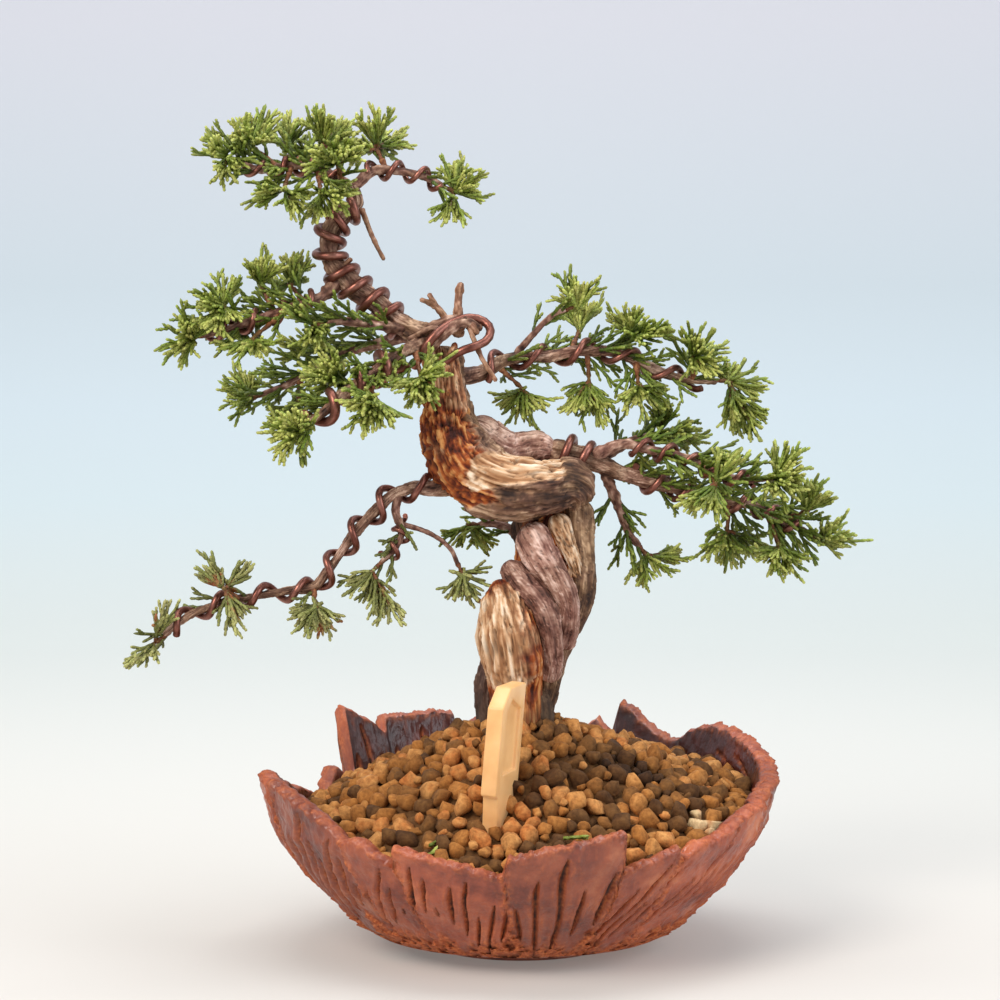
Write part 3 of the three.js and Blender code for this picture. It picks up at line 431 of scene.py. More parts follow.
# %% The cuts in each slab
SLABS = np.array([
    # [angle where the slab starts, slant of its cuts outside, mm between them, slant inside]
    [0, 0.6, 4.6, 2.4], [46, 0.4, 4.4, 2.0], [64.4, 0.3, 5, 1.5], [75.5, 0.2, 5.5, 0.6],
    [106.2, 0.1, 5, 0.1], [126, 0.1, 5, 0.05], [138.2, 0.3, 4.5, 0.3], [156, 0.35, 4.6, 0.4],
    [200, 0.5, 4.5, 0.3], [226.8, 0.55, 4.2, 0.3], [241.1, 0.3, 4.6, 0.3], [266.2, 0.04, 7.0, 0.2],
    [292.6, 0.5, 4.0, 0.3], [307.6, 0.6, 4.4, 0.4], [337.8, 0.6, 4.8, 1.6],
])
CUT_HALF_WIDTH = 1.1  # mm
CUT_RADIUS = 78  # where the spacing of the cuts is true


def cut_lines(angle, height, top, inside):
    """How deep the cuts are and how high the burrs beside them, from 0 to 1, and the slab's number."""
    slab = np.searchsorted(SLABS[:, 0], np.degrees(angle) % 360, side="right") - 1
    slant = np.where(inside, SLABS[slab, 3], SLABS[slab, 1])
    spacing = SLABS[slab, 2]
    from_start = angle - np.radians(SLABS[slab, 0])
    across = (CUT_RADIUS * from_start - slant * height) / np.sqrt(1 + slant**2)
    waver = fractal(np.stack([across / 16, height / 30, slab * 3.7], axis=1), 2)
    across = across / spacing + 0.4 * waver
    cut = np.floor(across)
    off = np.abs(across - cut - 0.5) * spacing
    # each cut has its own length and its own width
    start = 5 + 17 * np.abs(np.sin(cut * 12.9 + slab * 7.1))
    end = top - 2.5 - 15 * np.abs(np.sin(cut * 5.3 + slab * 3.3)) ** 2
    taper = np.clip(np.minimum(height - start, end - height) / 5, 0, 1)
    width = CUT_HALF_WIDTH * (0.65 + 0.6 * np.abs(np.sin(cut * 3.1 + slab))) * np.sqrt(taper)
    width = np.maximum(width, 1e-6)
    line = np.clip(1 - off / width, 0, 1)
    burr = np.clip(1 - np.abs(off / width - 1.5) / 0.7, 0, 1)
    return line * line * (3 - 2 * line), burr * (taper > 0), slab


# %% The bowl's shell
POT_COLUMNS = 1000
FOOT_ROWS = 8
OUTSIDE_ROWS = 58  # with the foot's
RIM_ROWS = 6
INSIDE_ROWS = 33
TOP_ROWS = 25  # of the inside, in its upper part, which shows above the granules
FLOOR_ROWS = 3  # of the inside, across the floor
ALL_ROWS = OUTSIDE_ROWS + RIM_ROWS + INSIDE_ROWS
TOP_DEPTH = 24
FOOT_HEIGHT = 5


def shell_rows(row, height, proud):
    """Radius and level of each row of the shell, and how many rows it lies down the inside."""
    # from the middle of the foot out to its edge and up to where the slabs begin
    foot_share = np.clip(row / FOOT_ROWS, 0, 1)
    foot_r = np.interp(foot_share, [0, 0.5, 0.75, 1], [0, 31.5, 33.5, 50])
    foot_z = np.interp(foot_share, [0, 0.5, 0.75, 1], [0, 0, 4, FOOT_HEIGHT])
    # up the outside
    up = np.clip((row - FOOT_ROWS) / (OUTSIDE_ROWS - FOOT_ROWS), 0, 1) ** 1.15
    out_z = FOOT_HEIGHT + up * (height - FOOT_HEIGHT)
    out_r = outer_radius(out_z, proud)
    # over the rim
    over = np.clip((row - OUTSIDE_ROWS) / RIM_ROWS, 0, 1)
    rim_r = outer_radius(height, proud) - over * BOWL_WALL
    rim_z = height + 1.1 * np.sin(over * math.pi)
    # down the inside and across the floor
    down = np.clip(row - OUTSIDE_ROWS - RIM_ROWS, 0, INSIDE_ROWS)
    shallow = np.clip(down / TOP_ROWS, 0, 1) * TOP_DEPTH
    deep = np.clip((down - TOP_ROWS) / (INSIDE_ROWS - FLOOR_ROWS - TOP_ROWS), 0, 1)
    in_z = (height - shallow) + deep * (BOWL_FLOOR - height + TOP_DEPTH)
    in_r = outer_radius(in_z, proud) - BOWL_WALL - 3 * np.clip((20 - in_z) / 13, 0, 1)
    in_r = in_r * (1 - np.clip((down - INSIDE_ROWS + FLOOR_ROWS) / FLOOR_ROWS, 0, 1))
    parts = [row < FOOT_ROWS, row <= OUTSIDE_ROWS, row < OUTSIDE_ROWS + RIM_ROWS]
    radius = np.select(parts, [foot_r, out_r, rim_r], in_r)
    return radius, np.select(parts, [foot_z, out_z, rim_z], in_z), down


# %% The relief of the clay
LUMPS = 0.8  # mm of relief, here and in the next five
CUT_DEPTH = 2.6
BURRS = 0.45
TORN_FOOT = 2.5
TORN_RIM = 0.9
TORN_LIP = 1.6  # where one slab ends over the next


def pot_points(turn, along):
    """Places on the bowl's shell, how raw the clay is, where it takes painted shade deep in cuts and pits,
    its tone, and whether it is inside.
    """
    angle = turn * 2 * math.pi
    height, proud = rim_at(np.degrees(angle))
    circle = np.stack([np.cos(angle), np.sin(angle), 0 * angle], axis=1)
    height = height + 0.9 * fractal(circle * 20, 3) + 0.5 * fractal(circle * 60, 3)
    row = np.round(along * ALL_ROWS)
    radius, level, down = shell_rows(row, height, proud)
    on_rim = (row > OUTSIDE_ROWS) & (row < OUTSIDE_ROWS + RIM_ROWS)
    inside = row >= OUTSIDE_ROWS + RIM_ROWS
    wall = ((row > FOOT_ROWS) & (row <= OUTSIDE_ROWS)) | (inside & (down < TOP_ROWS))

    lines, burrs, slab = cut_lines(angle, level, height, inside)
    below_rim = np.clip((height - level) / 3, 0, 1)
    lines = lines * wall * below_rim
    burrs = burrs * wall * below_rim * ~inside
    place = np.stack([radius * np.cos(angle), radius * np.sin(angle), level], axis=1)
    lumps, crumbs = fractal(place / 8, 3), fractal(place / 2.4, 4)
    # the clay is torn near the foot, at the rim and where a slab ends
    torn_edge = 14 + 8 * fractal(circle * 7 + 7, 3)
    rough = (row > FOOT_ROWS) * ~inside * ~on_rim * np.clip((torn_edge - level) / 4, 0, 1)
    rim_rough = np.clip(1 - (height - level) / 2.2, 0, 1) * (row > FOOT_ROWS) * (down < TOP_ROWS)
    degrees = np.degrees(angle)[:, None] % 360
    edge = np.radians(np.abs(degrees - SLABS[None, :, 0]).min(axis=1)) * radius
    lip = np.clip(1 - edge / 3, 0, 1) * wall * ~inside

    ragged = 0.4 + TORN_FOOT * rough + TORN_RIM * rim_rough
    push = LUMPS * lumps + ragged * crumbs + BURRS * burrs - CUT_DEPTH * lines * (1 - 0.6 * rough)
    push = push + TORN_LIP * lip * crumbs
    push = np.where(row <= FOOT_ROWS, 0, push)
    push = np.where(inside, -0.5 * push, push)
    flat = np.clip(np.minimum(level, radius / 8) / 4, 0, 1)  # foot and floor stay true
    radius = np.maximum(radius + push * flat, 0)
    level = level + np.where(on_rim, 0.7 * crumbs, 0) + np.where(rough > 0, 1.2 * rough * crumbs, 0)
    points = np.stack([radius * np.cos(angle), radius * np.sin(angle), np.maximum(level, 0)], axis=1)
    points[(row < 0.5) | (row > ALL_ROWS - 0.5), :2] = 0

    worn = np.clip(0.6 * rim_rough + 0.95 * lip + 0.5 * burrs, 0, 1) * np.clip(0.5 + 1.2 * crumbs, 0, 1)
    raw = np.clip(np.maximum(np.maximum(1.6 * lines, 0.95 * rough), worn), 0, 1)
    # painted shade: nearly black at the bottom of a cut and in the pits of torn clay
    cut_and_pit_shade = np.clip(1.7 * lines - 0.75 + 0.5 * crumbs, 0, 1)
    cut_and_pit_shade = np.clip(cut_and_pit_shade + 0.7 * rough * np.clip(-1.6 * crumbs, 0, 1), 0, 1)
    slab_tone = np.mod(slab * 0.618, 1.0)  # far from that of the slabs beside it
    return points, {"raw": raw, "deep": cut_and_pit_shade, "tone": slab_tone, "inner": inside * 1.0}


# %% The bowl is rolled
pot, turn, along = rolled_grid("pot_shell", POT_COLUMNS, ALL_ROWS)
points, marks = pot_points(turn, along)
for key, values in marks.items():
    attribute(pot.data, key, values)
put_vertices(pot, points)
print("bowl triangles:", count_triangles(pot))

# %% [markdown]
# ## Fired clay
# Red stoneware with a brushed iron slip. The slip is smooth, half glossy and red-brown; the raw clay
# in cuts and tears is matt and orange. The bottom of a cut and the pits of torn clay get painted
# shade, nearly black. The mesh carries how raw each place is and how deep in a cut. Noise makes the
# slip thin in streaks and uneven in colour, and the inside is darker.

# %% Fired clay
clay, tree, shader = new_material("slip_washed_red_stoneware", 0.5, Specular_IOR_Level=0.65)
where = add(tree, "ShaderNodeTexCoord").outputs["Object"]
raw, deep, tone, inner = (mark(tree, name) for name in ("raw", "deep", "tone", "inner"))
cloud = clouds(tree, where, 70.0, 6.0, 0.6)
grit = clouds(tree, where, 900.0, 4.0)
flow = add(tree, "ShaderNodeMapping", {"Vector": where, "Scale": (420.0, 420.0, 60.0)})
streak = clouds(tree, flow.outputs[0], 1.0, 3.0)
slip = ramp(tree, cloud, [(0.28, "#64281C"), (0.43, "#96462E"), (0.57, "#B45C3A"), (0.72, "#D08058")])
dark = ramp(tree, cloud, [(0.3, "#2E100E"), (0.55, "#4A1E18"), (0.75, "#703020")])
bare = ramp(tree, grit, [(0.3, "#863614"), (0.5, "#B85C28"), (0.7, "#D88048")])
# each slab has its own tone, and the inside is dark
shade = reckon(tree, "MAXIMUM", reckon(tree, "MULTIPLY", tone, 0.55), inner)
skin = blend(tree, shade, slip, dark)
# the slip is thin in streaks and missing where the clay is raw
worn = reckon(tree, "ADD", raw, spread(tree, streak, 0.0, 0.3, 0.55, 0.75), clamp=True)
faced = blend(tree, reckon(tree, "MULTIPLY", worn, 0.85), skin, bare)
fine = bumps(tree, grit, 0.5, 0.0003)
# the bottoms of cuts and pits take painted shade, nearly black
dress(
    shader,
    Base_Color=blend(tree, deep, faced, "#260C08"),
    Roughness=spread(tree, worn, 0.3, 0.85),
    Normal=bumps(tree, streak, 0.6, 0.0006, Normal=fine),
)
settle(pot, clay, "pot_clay", "pot")
print("made", clay.name)

# %% [markdown]
# ## The tree's lines
# The trunk is a few strands twisted round each other, some alive under bark and some bare and
# bleached. The lists give each strand, branch and dead stub as points along its middle, in
# millimetres, with its radius there.

# %% The tree's lines: x, y, z and radius
TRUNK = {
    "heart": [[-2, 1, 58, 11], [-1, 3, 82, 9.5], [0.5, 5, 95.5, 9.5], [5.5, 6, 109.5, 11],
        [9.5, 5, 123.5, 12], [11, 5, 135.5, 12], [14.5, 5, 151, 10]],
    "deadwood": [[-7, -5, 124, 3.5], [-5.5, -8, 117.5, 8], [-4, -9, 106.5, 11], [-2.5, -8, 97, 11],
        [-1.5, -5, 86.5, 9], [-0.5, -2, 68, 9]],
    "mauve_strand": [[-5, -6, 130, 3], [0, -9, 123.5, 5], [6.5, -11, 116, 4.4], [10, -9, 106, 4],
        [11, -6, 96.5, 3.2], [10, -4, 89, 2.4]],
    "purple_strand": [[2, -4, 142, 6.5], [6.5, -8, 134, 6], [11.5, -9, 125, 5], [15.5, -7, 116, 4.2],
        [16, -4, 107, 3.4], [14.5, -3, 100, 2.4]],
    "pale_wedge": [[11.5, -3, 146, 4.5], [15, -5, 138, 3.6], [18, -5, 130.5, 2.6], [20, -3, 124.5, 1.6]],
    "tan_strand": [[19.5, 0, 151.5, 5], [20, 0, 140.5, 5], [21, 0, 129.5, 4.6], [20.5, 1, 120, 5],
        [18, 2, 111.5, 4.6], [13.5, 2, 101, 4.2], [9.5, 2, 89, 4], [5, 2, 68, 4]],
    "dark_root": [[-7, 4, 102.5, 4], [-10.5, 2, 92.5, 3.6], [-12, 0, 82.5, 3.4], [-10, -1, 66, 4]],
    "right_root": [[5.5, -1, 86, 4], [7, -2, 78.5, 4.5], [6, -2, 66, 4.5]],
    "back_strand": [[0, 11, 145.5, 6], [9, 14, 131.5, 7], [15.5, 13, 116, 6.4], [11, 13, 102, 6],
        [3, 9, 85, 6], [-2, 5, 66, 6]],
    "back_root": [[19, 12, 145.5, 5], [14, 15, 133, 6], [5.5, 15, 117.5, 6.4], [-2.5, 12, 102, 6],
        [-6, 7, 85, 5], [-7, 4, 66, 5]],
    "elbow": [[21.5, 3, 152, 7.5], [16.5, -3, 156, 8.6], [6.5, -7, 155.5, 10.6], [-6, -9, 156, 11.4],
        [-18.5, -7, 162, 12], [-23.5, -4, 171.5, 10.8], [-25, -2, 181.5, 8.8], [-26.5, -1, 192.5, 7.2],
        [-27.5, 0, 203.5, 6.2]],
    "torn_spike": [[-21.5, -7, 178, 4.5], [-22.5, -7, 190, 3.2], [-23, -6, 197.5, 2.4],
        [-22, -5, 204.5, 0.7]],
    "back_hump": [[-17, 1, 178, 6], [-11.5, 4, 171.5, 6.4], [-3.5, 7, 167, 6.6], [5.5, 8, 168, 6],
        [12.5, 8, 167, 4.6]],
}
BRANCHES = {
    "apex": [[-27, 0, 204, 5.6], [-33, -1, 207, 4.2], [-39, -1, 210, 3.4], [-44, 0, 213, 3],
        [-49, 0, 218, 2.9], [-55, 0, 222, 3.2], [-60, 0, 227, 3.1], [-64, 0, 232, 2.8], [-65, 0, 238, 2.7],
        [-64, 0, 243, 2.6], [-60, 0, 248, 2.4], [-55, 0, 252, 2.1], [-57, 0, 258, 1.7]],
    "top_left": [[-57, 0, 257, 1.9], [-68, -2, 263, 1.5], [-78, -5, 264, 1.3], [-87, -8, 262, 1.2],
        [-95, -10, 265, 1]],
    "top_right": [[-57, 0, 257, 1.9], [-50, 2, 263, 1.6], [-41, 3, 263, 1.4], [-32, 4, 261, 1.2],
        [-26, 5, 258, 1]],
    "left_upper": [[-61, 0, 227, 2.4], [-67, -4, 220, 1.8], [-74, -8, 217, 1.6], [-82, -12, 214, 1.4],
        [-90, -15, 211, 1.3], [-98, -17, 208, 1.2], [-106, -18, 206, 1]],
    "left_back": [[-35, 2, 208, 2.4], [-46, 6, 205, 1.8], [-59, 10, 202, 1.6], [-69, 13, 197, 1.4],
        [-80, 15, 191, 1.2], [-90, 16, 187, 1]],
    "left_front": [[-31, -2, 205, 2.6], [-39, -14, 201, 2.2], [-45, -23, 196, 2], [-54, -32, 189, 1.8],
        [-62, -39, 182, 1.5], [-69, -43, 176, 1.2]],
    "left_top": [[-39, -2, 209, 2], [-49, -8, 210, 1.4], [-58, -12, 211, 1.2], [-65, -15, 210, 1]],
    "right_upper": [[-24, 1, 193, 3], [-14, 4, 194, 2.5], [-7, 6, 198, 2.2], [0, 8, 200, 2],
        [9, 10, 200, 1.9], [19, 12, 202, 1.8], [31, 14, 202, 1.6], [42, 15, 198, 1.5], [52, 16, 194, 1.4],
        [61, 17, 192, 1.2], [69, 18, 192, 1]],
    "right_upper_twig": [[-2, 8, 200, 1.4], [4, 6, 207, 1.1], [11, 4, 214, 0.9], [16, 3, 216, 0.8]],
    "right_lower": [[9, 8, 168, 4.6], [19, 8, 166, 3.6], [28, 8, 163, 3], [35, 8, 160, 2.5],
        [45, 8, 157, 2.1], [56, 9, 154, 1.8], [68, 11, 151, 1.5], [80, 12, 149, 1.3], [92, 13, 143, 1.1],
        [101, 13, 138, 1]],
    "right_lower_fork": [[25, 5, 166, 2.2], [35, 2, 170, 1.7], [44, 0, 168, 1.5], [54, -2, 166, 1.4],
        [63, -3, 162, 1.3], [74, -4, 158, 1.1], [82, -5, 158, 1]],
    "right_lower_drop": [[29, 10, 161, 2], [34, 13, 149, 1.7], [38, 15, 139, 1.4], [42, 16, 134, 1.1]],
    "right_lower_rise": [[28, 10, 165, 1.8], [39, 16, 171, 1.5], [46, 20, 173, 1.1]],
    "left_lower": [[-21, -6, 156, 3.4], [-31, -8, 155, 2.3], [-37, -9, 155, 2], [-43, -10, 153, 1.8],
        [-49, -10, 147, 1.7], [-55, -11, 141, 1.6], [-60, -12, 134, 1.5], [-65, -13, 127, 1.4],
        [-69, -14, 122, 1.4], [-77, -15, 121, 1.3], [-89, -16, 119, 1.2], [-100, -17, 117, 1.1],
        [-110, -18, 113, 1.1], [-119, -19, 106, 1]],
    "left_lower_drop": [[-41, -10, 154, 1.7], [-42, -10, 147, 1.4], [-40, -11, 141, 1.2],
        [-42, -12, 135, 1.1], [-47, -13, 130, 0.9]],
    "left_lower_twig": [[-40, -10, 143, 1], [-31, -8, 140, 0.8], [-24, -7, 135, 0.8], [-21, -6, 129, 0.7]],
    "back_low": [[2, 13, 138, 2], [-8, 16, 142, 1.4], [-14, 18, 142, 1.1]],
}
STUBS = {
    "stub_up": [[-21, -1, 206, 2], [-21, -2, 219, 1.3], [-20, -2, 225, 1]],
    "stub_left": [[-23, -3, 208, 1.5], [-28, -5, 216, 1.1], [-34, -6, 219, 0.8]],
    "stub_small": [[-27, -4, 214, 1], [-31, -6, 221, 0.8]],
    "stub_right": [[-23, -3, 207, 1.6], [-18, -6, 211, 1.2], [-14, -7, 207, 0.9]],
    "dead_twig": [[-18, -6, 211, 0.9], [-13, -8, 199, 0.8], [-8, -9, 191, 0.7]],
    "apex_stub": [[-63, 0, 228, 1.2], [-57, -2, 233, 0.8]],
    "apex_twig": [[-54, -1, 250, 1], [-50, -4, 240, 0.8], [-46, -5, 232, 0.7]],
    "apex_side": [[-64, 0, 242, 1.1], [-66, -2, 249, 0.8]],
}

# %% [markdown]
# ## Bark and bare wood as relief
# Juniper bark lifts in long flat flakes. Bare deadwood, stripped and bleached, is all long ridges
# with deep slits between them. Both are pushed out of the rolled sheet in real millimetres, with a
# noise that is stretched along the limb. Bump alone would leave the outline smooth, and sculpting
# by hand could not be repeated. Each kind of surface is one short function, which also says what
# colour the wood has there by a few marks from 0 to 1, painted shade in the hollows and a painted
# highlight on the crests among them.

# %% Relief of deadwood and of bark
TRUNK_STEP = 0.5  # mm between vertices on the trunk
BRANCH_STEP = 0.7 / 1.5  # on the branches
TWIG_STEP = 0.7 / 2  # and on stubs and twigs
THICK_LIMB = 8.0  # mm of radius from which the relief has its full size
DIRT_TOP = 89  # height to which dust from the granules reaches
DIRT_FADE = 12


class Sheet:
    """Where each vertex of a rolled sheet is: the angle round, the reach along in mm, and so on."""

    def __init__(self, turn, reach, radius, place, out, seed):
        self.turn, self.reach, self.radius = turn, reach, radius
        self.place, self.out, self.seed = place, out, seed
        self.size = min(1.0, max(0.35, radius.max() / THICK_LIMB))

    def noise(self, spacing, stretch, shift, octaves=3):
        """Noise with waves of a spacing in mm across the limb, drawn out along it."""
        waves, seed = spacing * self.size, self.seed + shift
        return fractal(on_limb(self.turn, self.reach, self.radius, waves, stretch, seed), octaves)

    def marks(self, **values):
        """The marks that the wood's material reads: dirt comes from the granules below."""
        low = np.clip((DIRT_TOP - self.place[:, 2]) / DIRT_FADE, 0, 1)
        values["dirt"] = low * (0.7 + 0.5 * fractal(self.place / 4, 2))
        return {key: np.clip(value + 0 * self.reach, 0, 1) for key, value in values.items()}


def slit(values, width):
    """1 in a narrow slit where a noise crosses zero, falling to 0 beside it."""
    return np.clip(1 - np.abs(values) / width, 0, 1)


def near(value, low, high, fade):
    """1 between two limits, fading to 0 beside them."""
    return np.clip(np.minimum(value - low, high - value) / fade + 0.5, 0, 1)


def deadwood_relief(sheet):
    """Long sharp ridges with deep slits between them: push in mm, painted shade in the slits, and a paler
    value on the crests that is partly grain and partly a painted highlight.
    """
    broad = sheet.noise(5.0, 4.5, 0)
    fine = sheet.noise(1.9, 8.0, 20, 4)
    hair = sheet.noise(0.75, 14.0, 40, 2)
    push = 0.8 * broad - 1.2 * slit(broad, 0.1) + 0.75 * fine - 0.8 * slit(fine + 0.1, 0.12) + 0.3 * hair
    hollow = np.clip(slit(broad, 0.09) + 0.75 * slit(fine + 0.1, 0.1), 0, 1)
    # the third value is paler on the crests: partly the grain, partly a painted highlight
    return push * sheet.size, hollow, 0.5 + 0.7 * fine + 0.4 * hair


def bark_relief(sheet):
    """Flat flakes, one lifted over the next, with fibres on them: push in mm, painted shade along the edges
    of the flakes, and a paler value that is partly grain and partly a painted highlight.
    """
    broad = sheet.noise(7.0, 4.0, 0)
    flakes = 2.4 * sheet.noise(4.2, 5.0, 30, 4)
    level = np.floor(flakes)
    edge = flakes - level
    terrace = level + np.clip((edge - 0.05) / 0.13, 0, 1)
    fibre = sheet.noise(0.9, 12.0, 60)
    wrinkle = sheet.noise(2.4, 1.6, 90)
    push = 0.9 * broad + 0.6 * terrace + 0.22 * fibre + 0.2 * wrinkle
    hollow = np.clip(1 - edge / 0.1, 0, 1)
    # paler on crests and lifted flake edges: partly the grain, partly a painted highlight
    ridge = 0.44 + 0.2 * fibre + 0.3 * broad + 0.16 * near(edge, 0.16, 0.3, 0.06)
    return push * sheet.size, hollow, ridge


# %% The surfaces of the strands
def bare_surface(warm):
    """Bare wood: warm is 0 where it is bleached and 1 where it is orange heartwood."""
    def surface(sheet):
        push, hollow, ridge = deadwood_relief(sheet)
        level = warm + 0.4 * fractal(sheet.place / 9 + sheet.seed, 3)
        return push, sheet.marks(bare=1, hollow=hollow, ridge=ridge, warm=level, tone=0.3)
    return surface


def bleached_surface(sheet):
    """The deadwood in front: bleached in the middle, orange at its top, its foot and its right."""
    push, hollow, ridge = deadwood_relief(sheet)
    z = sheet.place[:, 2] + 5 * fractal(sheet.place / 7, 3)
    level = np.interp(z, [70, 84, 96, 116, 123], [0.9, 0.8, 0.1, 0.05, 0.7])
    right_side = np.clip((sheet.place[:, 0] + sheet.radius * sheet.out[:, 0] + 2) / 6, 0, 1)
    level = level + 0.5 * right_side + 0.3 * fractal(sheet.place / 5, 2)
    return 0.75 * push, sheet.marks(bare=1, hollow=0.7 * hollow, ridge=ridge, warm=level, tone=0.3)


def bark_surface(tone, darkening=0.0):
    """Living bark: tone is 0 where it is tan and 1 where it is mauve. The darkening share makes the whole
    strand up to nearly black.
    """
    def surface(sheet):
        push, hollow, ridge = bark_relief(sheet)
        level = tone + 0.35 * fractal(sheet.place / 10 + sheet.seed, 3)
        # the darkening is laid on the same mark as the painted shade of the hollows
        hollow = np.maximum(hollow, darkening)
        return push, sheet.marks(bare=0, hollow=hollow, ridge=ridge, warm=0.3, tone=level)
    return surface


def twig_surface(tone, dead=0.0):
    """Thin bark of a young branch, with small scales and knots, or a dead one without bark."""
    def surface(sheet):
        scales = fractal(on_limb(sheet.turn, sheet.reach, sheet.radius, 1.4, 1.8, sheet.seed), 4)
        knots = np.clip(fractal(sheet.place / 3.2 + sheet.seed, 2) - 0.15, 0, 1)
        push = (0.16 * scales + 0.5 * knots) * sheet.radius
        level = tone + 0.4 * fractal(sheet.place / 6 + sheet.seed, 2)
        # painted shade between the small scales; the paler scales are partly a painted highlight
        hollow, ridge = 0.5 * slit(scales + 0.2, 0.12), 0.44 + 0.3 * scales
        return push, sheet.marks(bare=dead, hollow=hollow, ridge=ridge, warm=0.35, tone=level)
    return surface


def elbow_surface(sheet):
    """Where the trunk bends: torn orange heartwood, a bleached band across it, bark elsewhere."""
    x, y, z = sheet.place.T + sheet.radius * sheet.out.T
    bark_push, bark_hollow, bark_ridge = bark_relief(sheet)
    bare_push, bare_hollow, bare_ridge = deadwood_relief(sheet)
    lump = fractal(sheet.place / 11 + sheet.out * 1.3, 3)
    chips = fractal(np.stack([x / 2.2, y / 2.2, z / 3.2], axis=1), 4)
    torn = near(x + 0.35 * (z - 165), -40, -13, 9) * near(z, 149, 215, 3) * np.clip((6 - y) / 4, 0, 1)
    band = near(x, -18, 15, 5) * near(z - 0.15 * x, 156.5, 168.5, 2.5) * np.clip((2 - y) / 3, 0, 1)
    edge = 0.5 * fractal(np.stack([x / 7, y / 4, z / 3], axis=1), 4)
    torn = np.clip((torn + edge - 0.5) * 3 + 0.5, 0, 1)
    band = np.clip((band + edge - 0.5) * 4 + 0.5, 0, 1)
    bare = np.maximum(torn, band)
    rough = torn * near(z, 140, 188, 6)
    push = bark_push * (1 - bare) + (0.9 * bare_push - 0.8) * bare + 1.3 * lump + 1.1 * chips * rough
    warm = np.clip(0.85 * torn - 0.35 * near(z, 186, 215, 6) - 0.6 * band + 0.35 * lump, 0, 1)
    # painted shade in the pits of the torn wood
    pit_shade = np.clip(-1.4 * chips - 0.35, 0, 1) * rough
    hollow = bark_hollow * (1 - bare) + np.maximum(0.8 * bare_hollow * bare, pit_shade)
    ridge = bark_ridge * (1 - bare) + (bare_ridge + 0.5 * chips * rough) * bare
    return push, sheet.marks(bare=bare, hollow=hollow, ridge=ridge, warm=warm, tone=0.12 + 0.35 * lump)


# %% A limb as a rolled sheet
def make_limb(name, points, step, surface, seed):
    """Rolls a sheet round a line. The surface function gives its relief and its marks."""
    limb = Limb(points)
    girth = 2 * math.pi * max(row[3] for row in points)
    columns = max(10, round(girth / step))
    rows = max(12, round(limb.length / step))
    piece, turn, along = rolled_grid(name, columns, rows)
    angle = (turn * 2 * math.pi)[:, None]
    place, _, radius, first, second = limb.at(along)
    reach = along * limb.length
    out = first * np.cos(angle) + second * np.sin(angle)
    push, marks = surface(Sheet(angle[:, 0], reach, radius, place, out, seed))
    end = np.minimum(reach, limb.length - reach)
    close = np.sqrt(np.clip(1 - (1 - np.clip(end / radius, 0, 1)) ** 2, 0, 1))  # round ends
    away = np.maximum(radius + push, 0.3 * radius) * close
    for key, values in marks.items():
        attribute(piece.data, key, values)
    put_vertices(piece, place + away[:, None] * out, uv_size=(girth, limb.length))
    return piece


# %% [markdown]
# ## Materials of the wood
# Bark of an old juniper is thin, dry and matt: brown to mauve flakes, with painted shade that makes the
# cracks nearly black.
# Bare wood is bleached to cream where the sun reaches and stays orange where it was torn lately.
# It has fine straight fibres a fraction of a millimetre wide, drawn a little coarser here so that
# they show. One material holds both, mixed by the marks in the mesh, so that bark can end in a
# ragged edge on the wood, as it does on the tree.

# %% Bark and bare wood
WOOD_FIBRE = 0.0007  # m between fibres, coarser than life so that they show

old_wood, tree, shader = new_material("juniper_bark_and_bare_wood", 0.72, Specular_IOR_Level=0.4)
where = add(tree, "ShaderNodeTexCoord").outputs
keys = ("bare", "hollow", "warm", "tone", "ridge", "dirt")
bare, hollow, warm, tone, ridge, dirt = (mark(tree, key) for key in keys)
grain = add(tree, "ShaderNodeMapping", {"Vector": where["UV"], "Scale": (1 / WOOD_FIBRE, 90.0, 1.0)})
fibre = clouds(tree, grain.outputs[0], 1.0, 4.0)
patch = clouds(tree, where["Object"], 240.0, 6.0)
speck = clouds(tree, where["Object"], 1100.0, 3.0)
# raised places are paler, on bare wood and on bark alike: partly the grain, partly a painted highlight on the
# crests
grain_and_crest_light = add(tree, "ShaderNodeMix", {0: 0.3, 2: ridge, 3: fibre}).outputs[0]
pale = ramp(tree, grain_and_crest_light, [(0.15, "#7C4E2C"), (0.38, "#AE7E56"), (0.6, "#D4AC86"), (0.85, "#F2DCC2")])
orange = ramp(tree, grain_and_crest_light, [(0.15, "#3C1004"), (0.4, "#762C06"), (0.6, "#A8541C"), (0.85, "#DC9C5C")])
heat = spread(tree, reckon(tree, "ADD", warm, patch), 0.0, 1.0, 0.7, 1.15)
wood = blend(tree, heat, pale, orange)
flakes = add(tree, "ShaderNodeMix", {0: 0.35, 2: grain_and_crest_light, 3: patch}).outputs[0]
tan = ramp(tree, flakes, [(0.34, "#28160E"), (0.45, "#5A3E2A"), (0.54, "#846448"), (0.66, "#C4A280")])
mauve = ramp(tree, flakes, [(0.34, "#341810"), (0.43, "#7A4E42"), (0.52, "#AC8272"), (0.63, "#EAC8BA")])
skin = blend(tree, bare, blend(tree, tone, tan, mauve), wood)
# painted shade darkens the hollows, the bark has dark specks of its own, and the foot is dark, where it is
# damp
spots = spread(tree, speck, 0.0, 0.3, 0.62, 0.75)
dark = reckon(tree, "MAXIMUM", reckon(tree, "MULTIPLY", hollow, 0.8), spots)
crack_shade_and_specks = blend(tree, dark, skin, "#24150F")
dress(
    shader,
    Base_Color=blend(tree, reckon(tree, "MULTIPLY", dirt, 0.75), crack_shade_and_specks, "#40301F"),
    Normal=bumps(tree, patch, 0.5, 0.0006, Normal=bumps(tree, fibre, 0.6, 0.0004)),
)
print("made", old_wood.name)

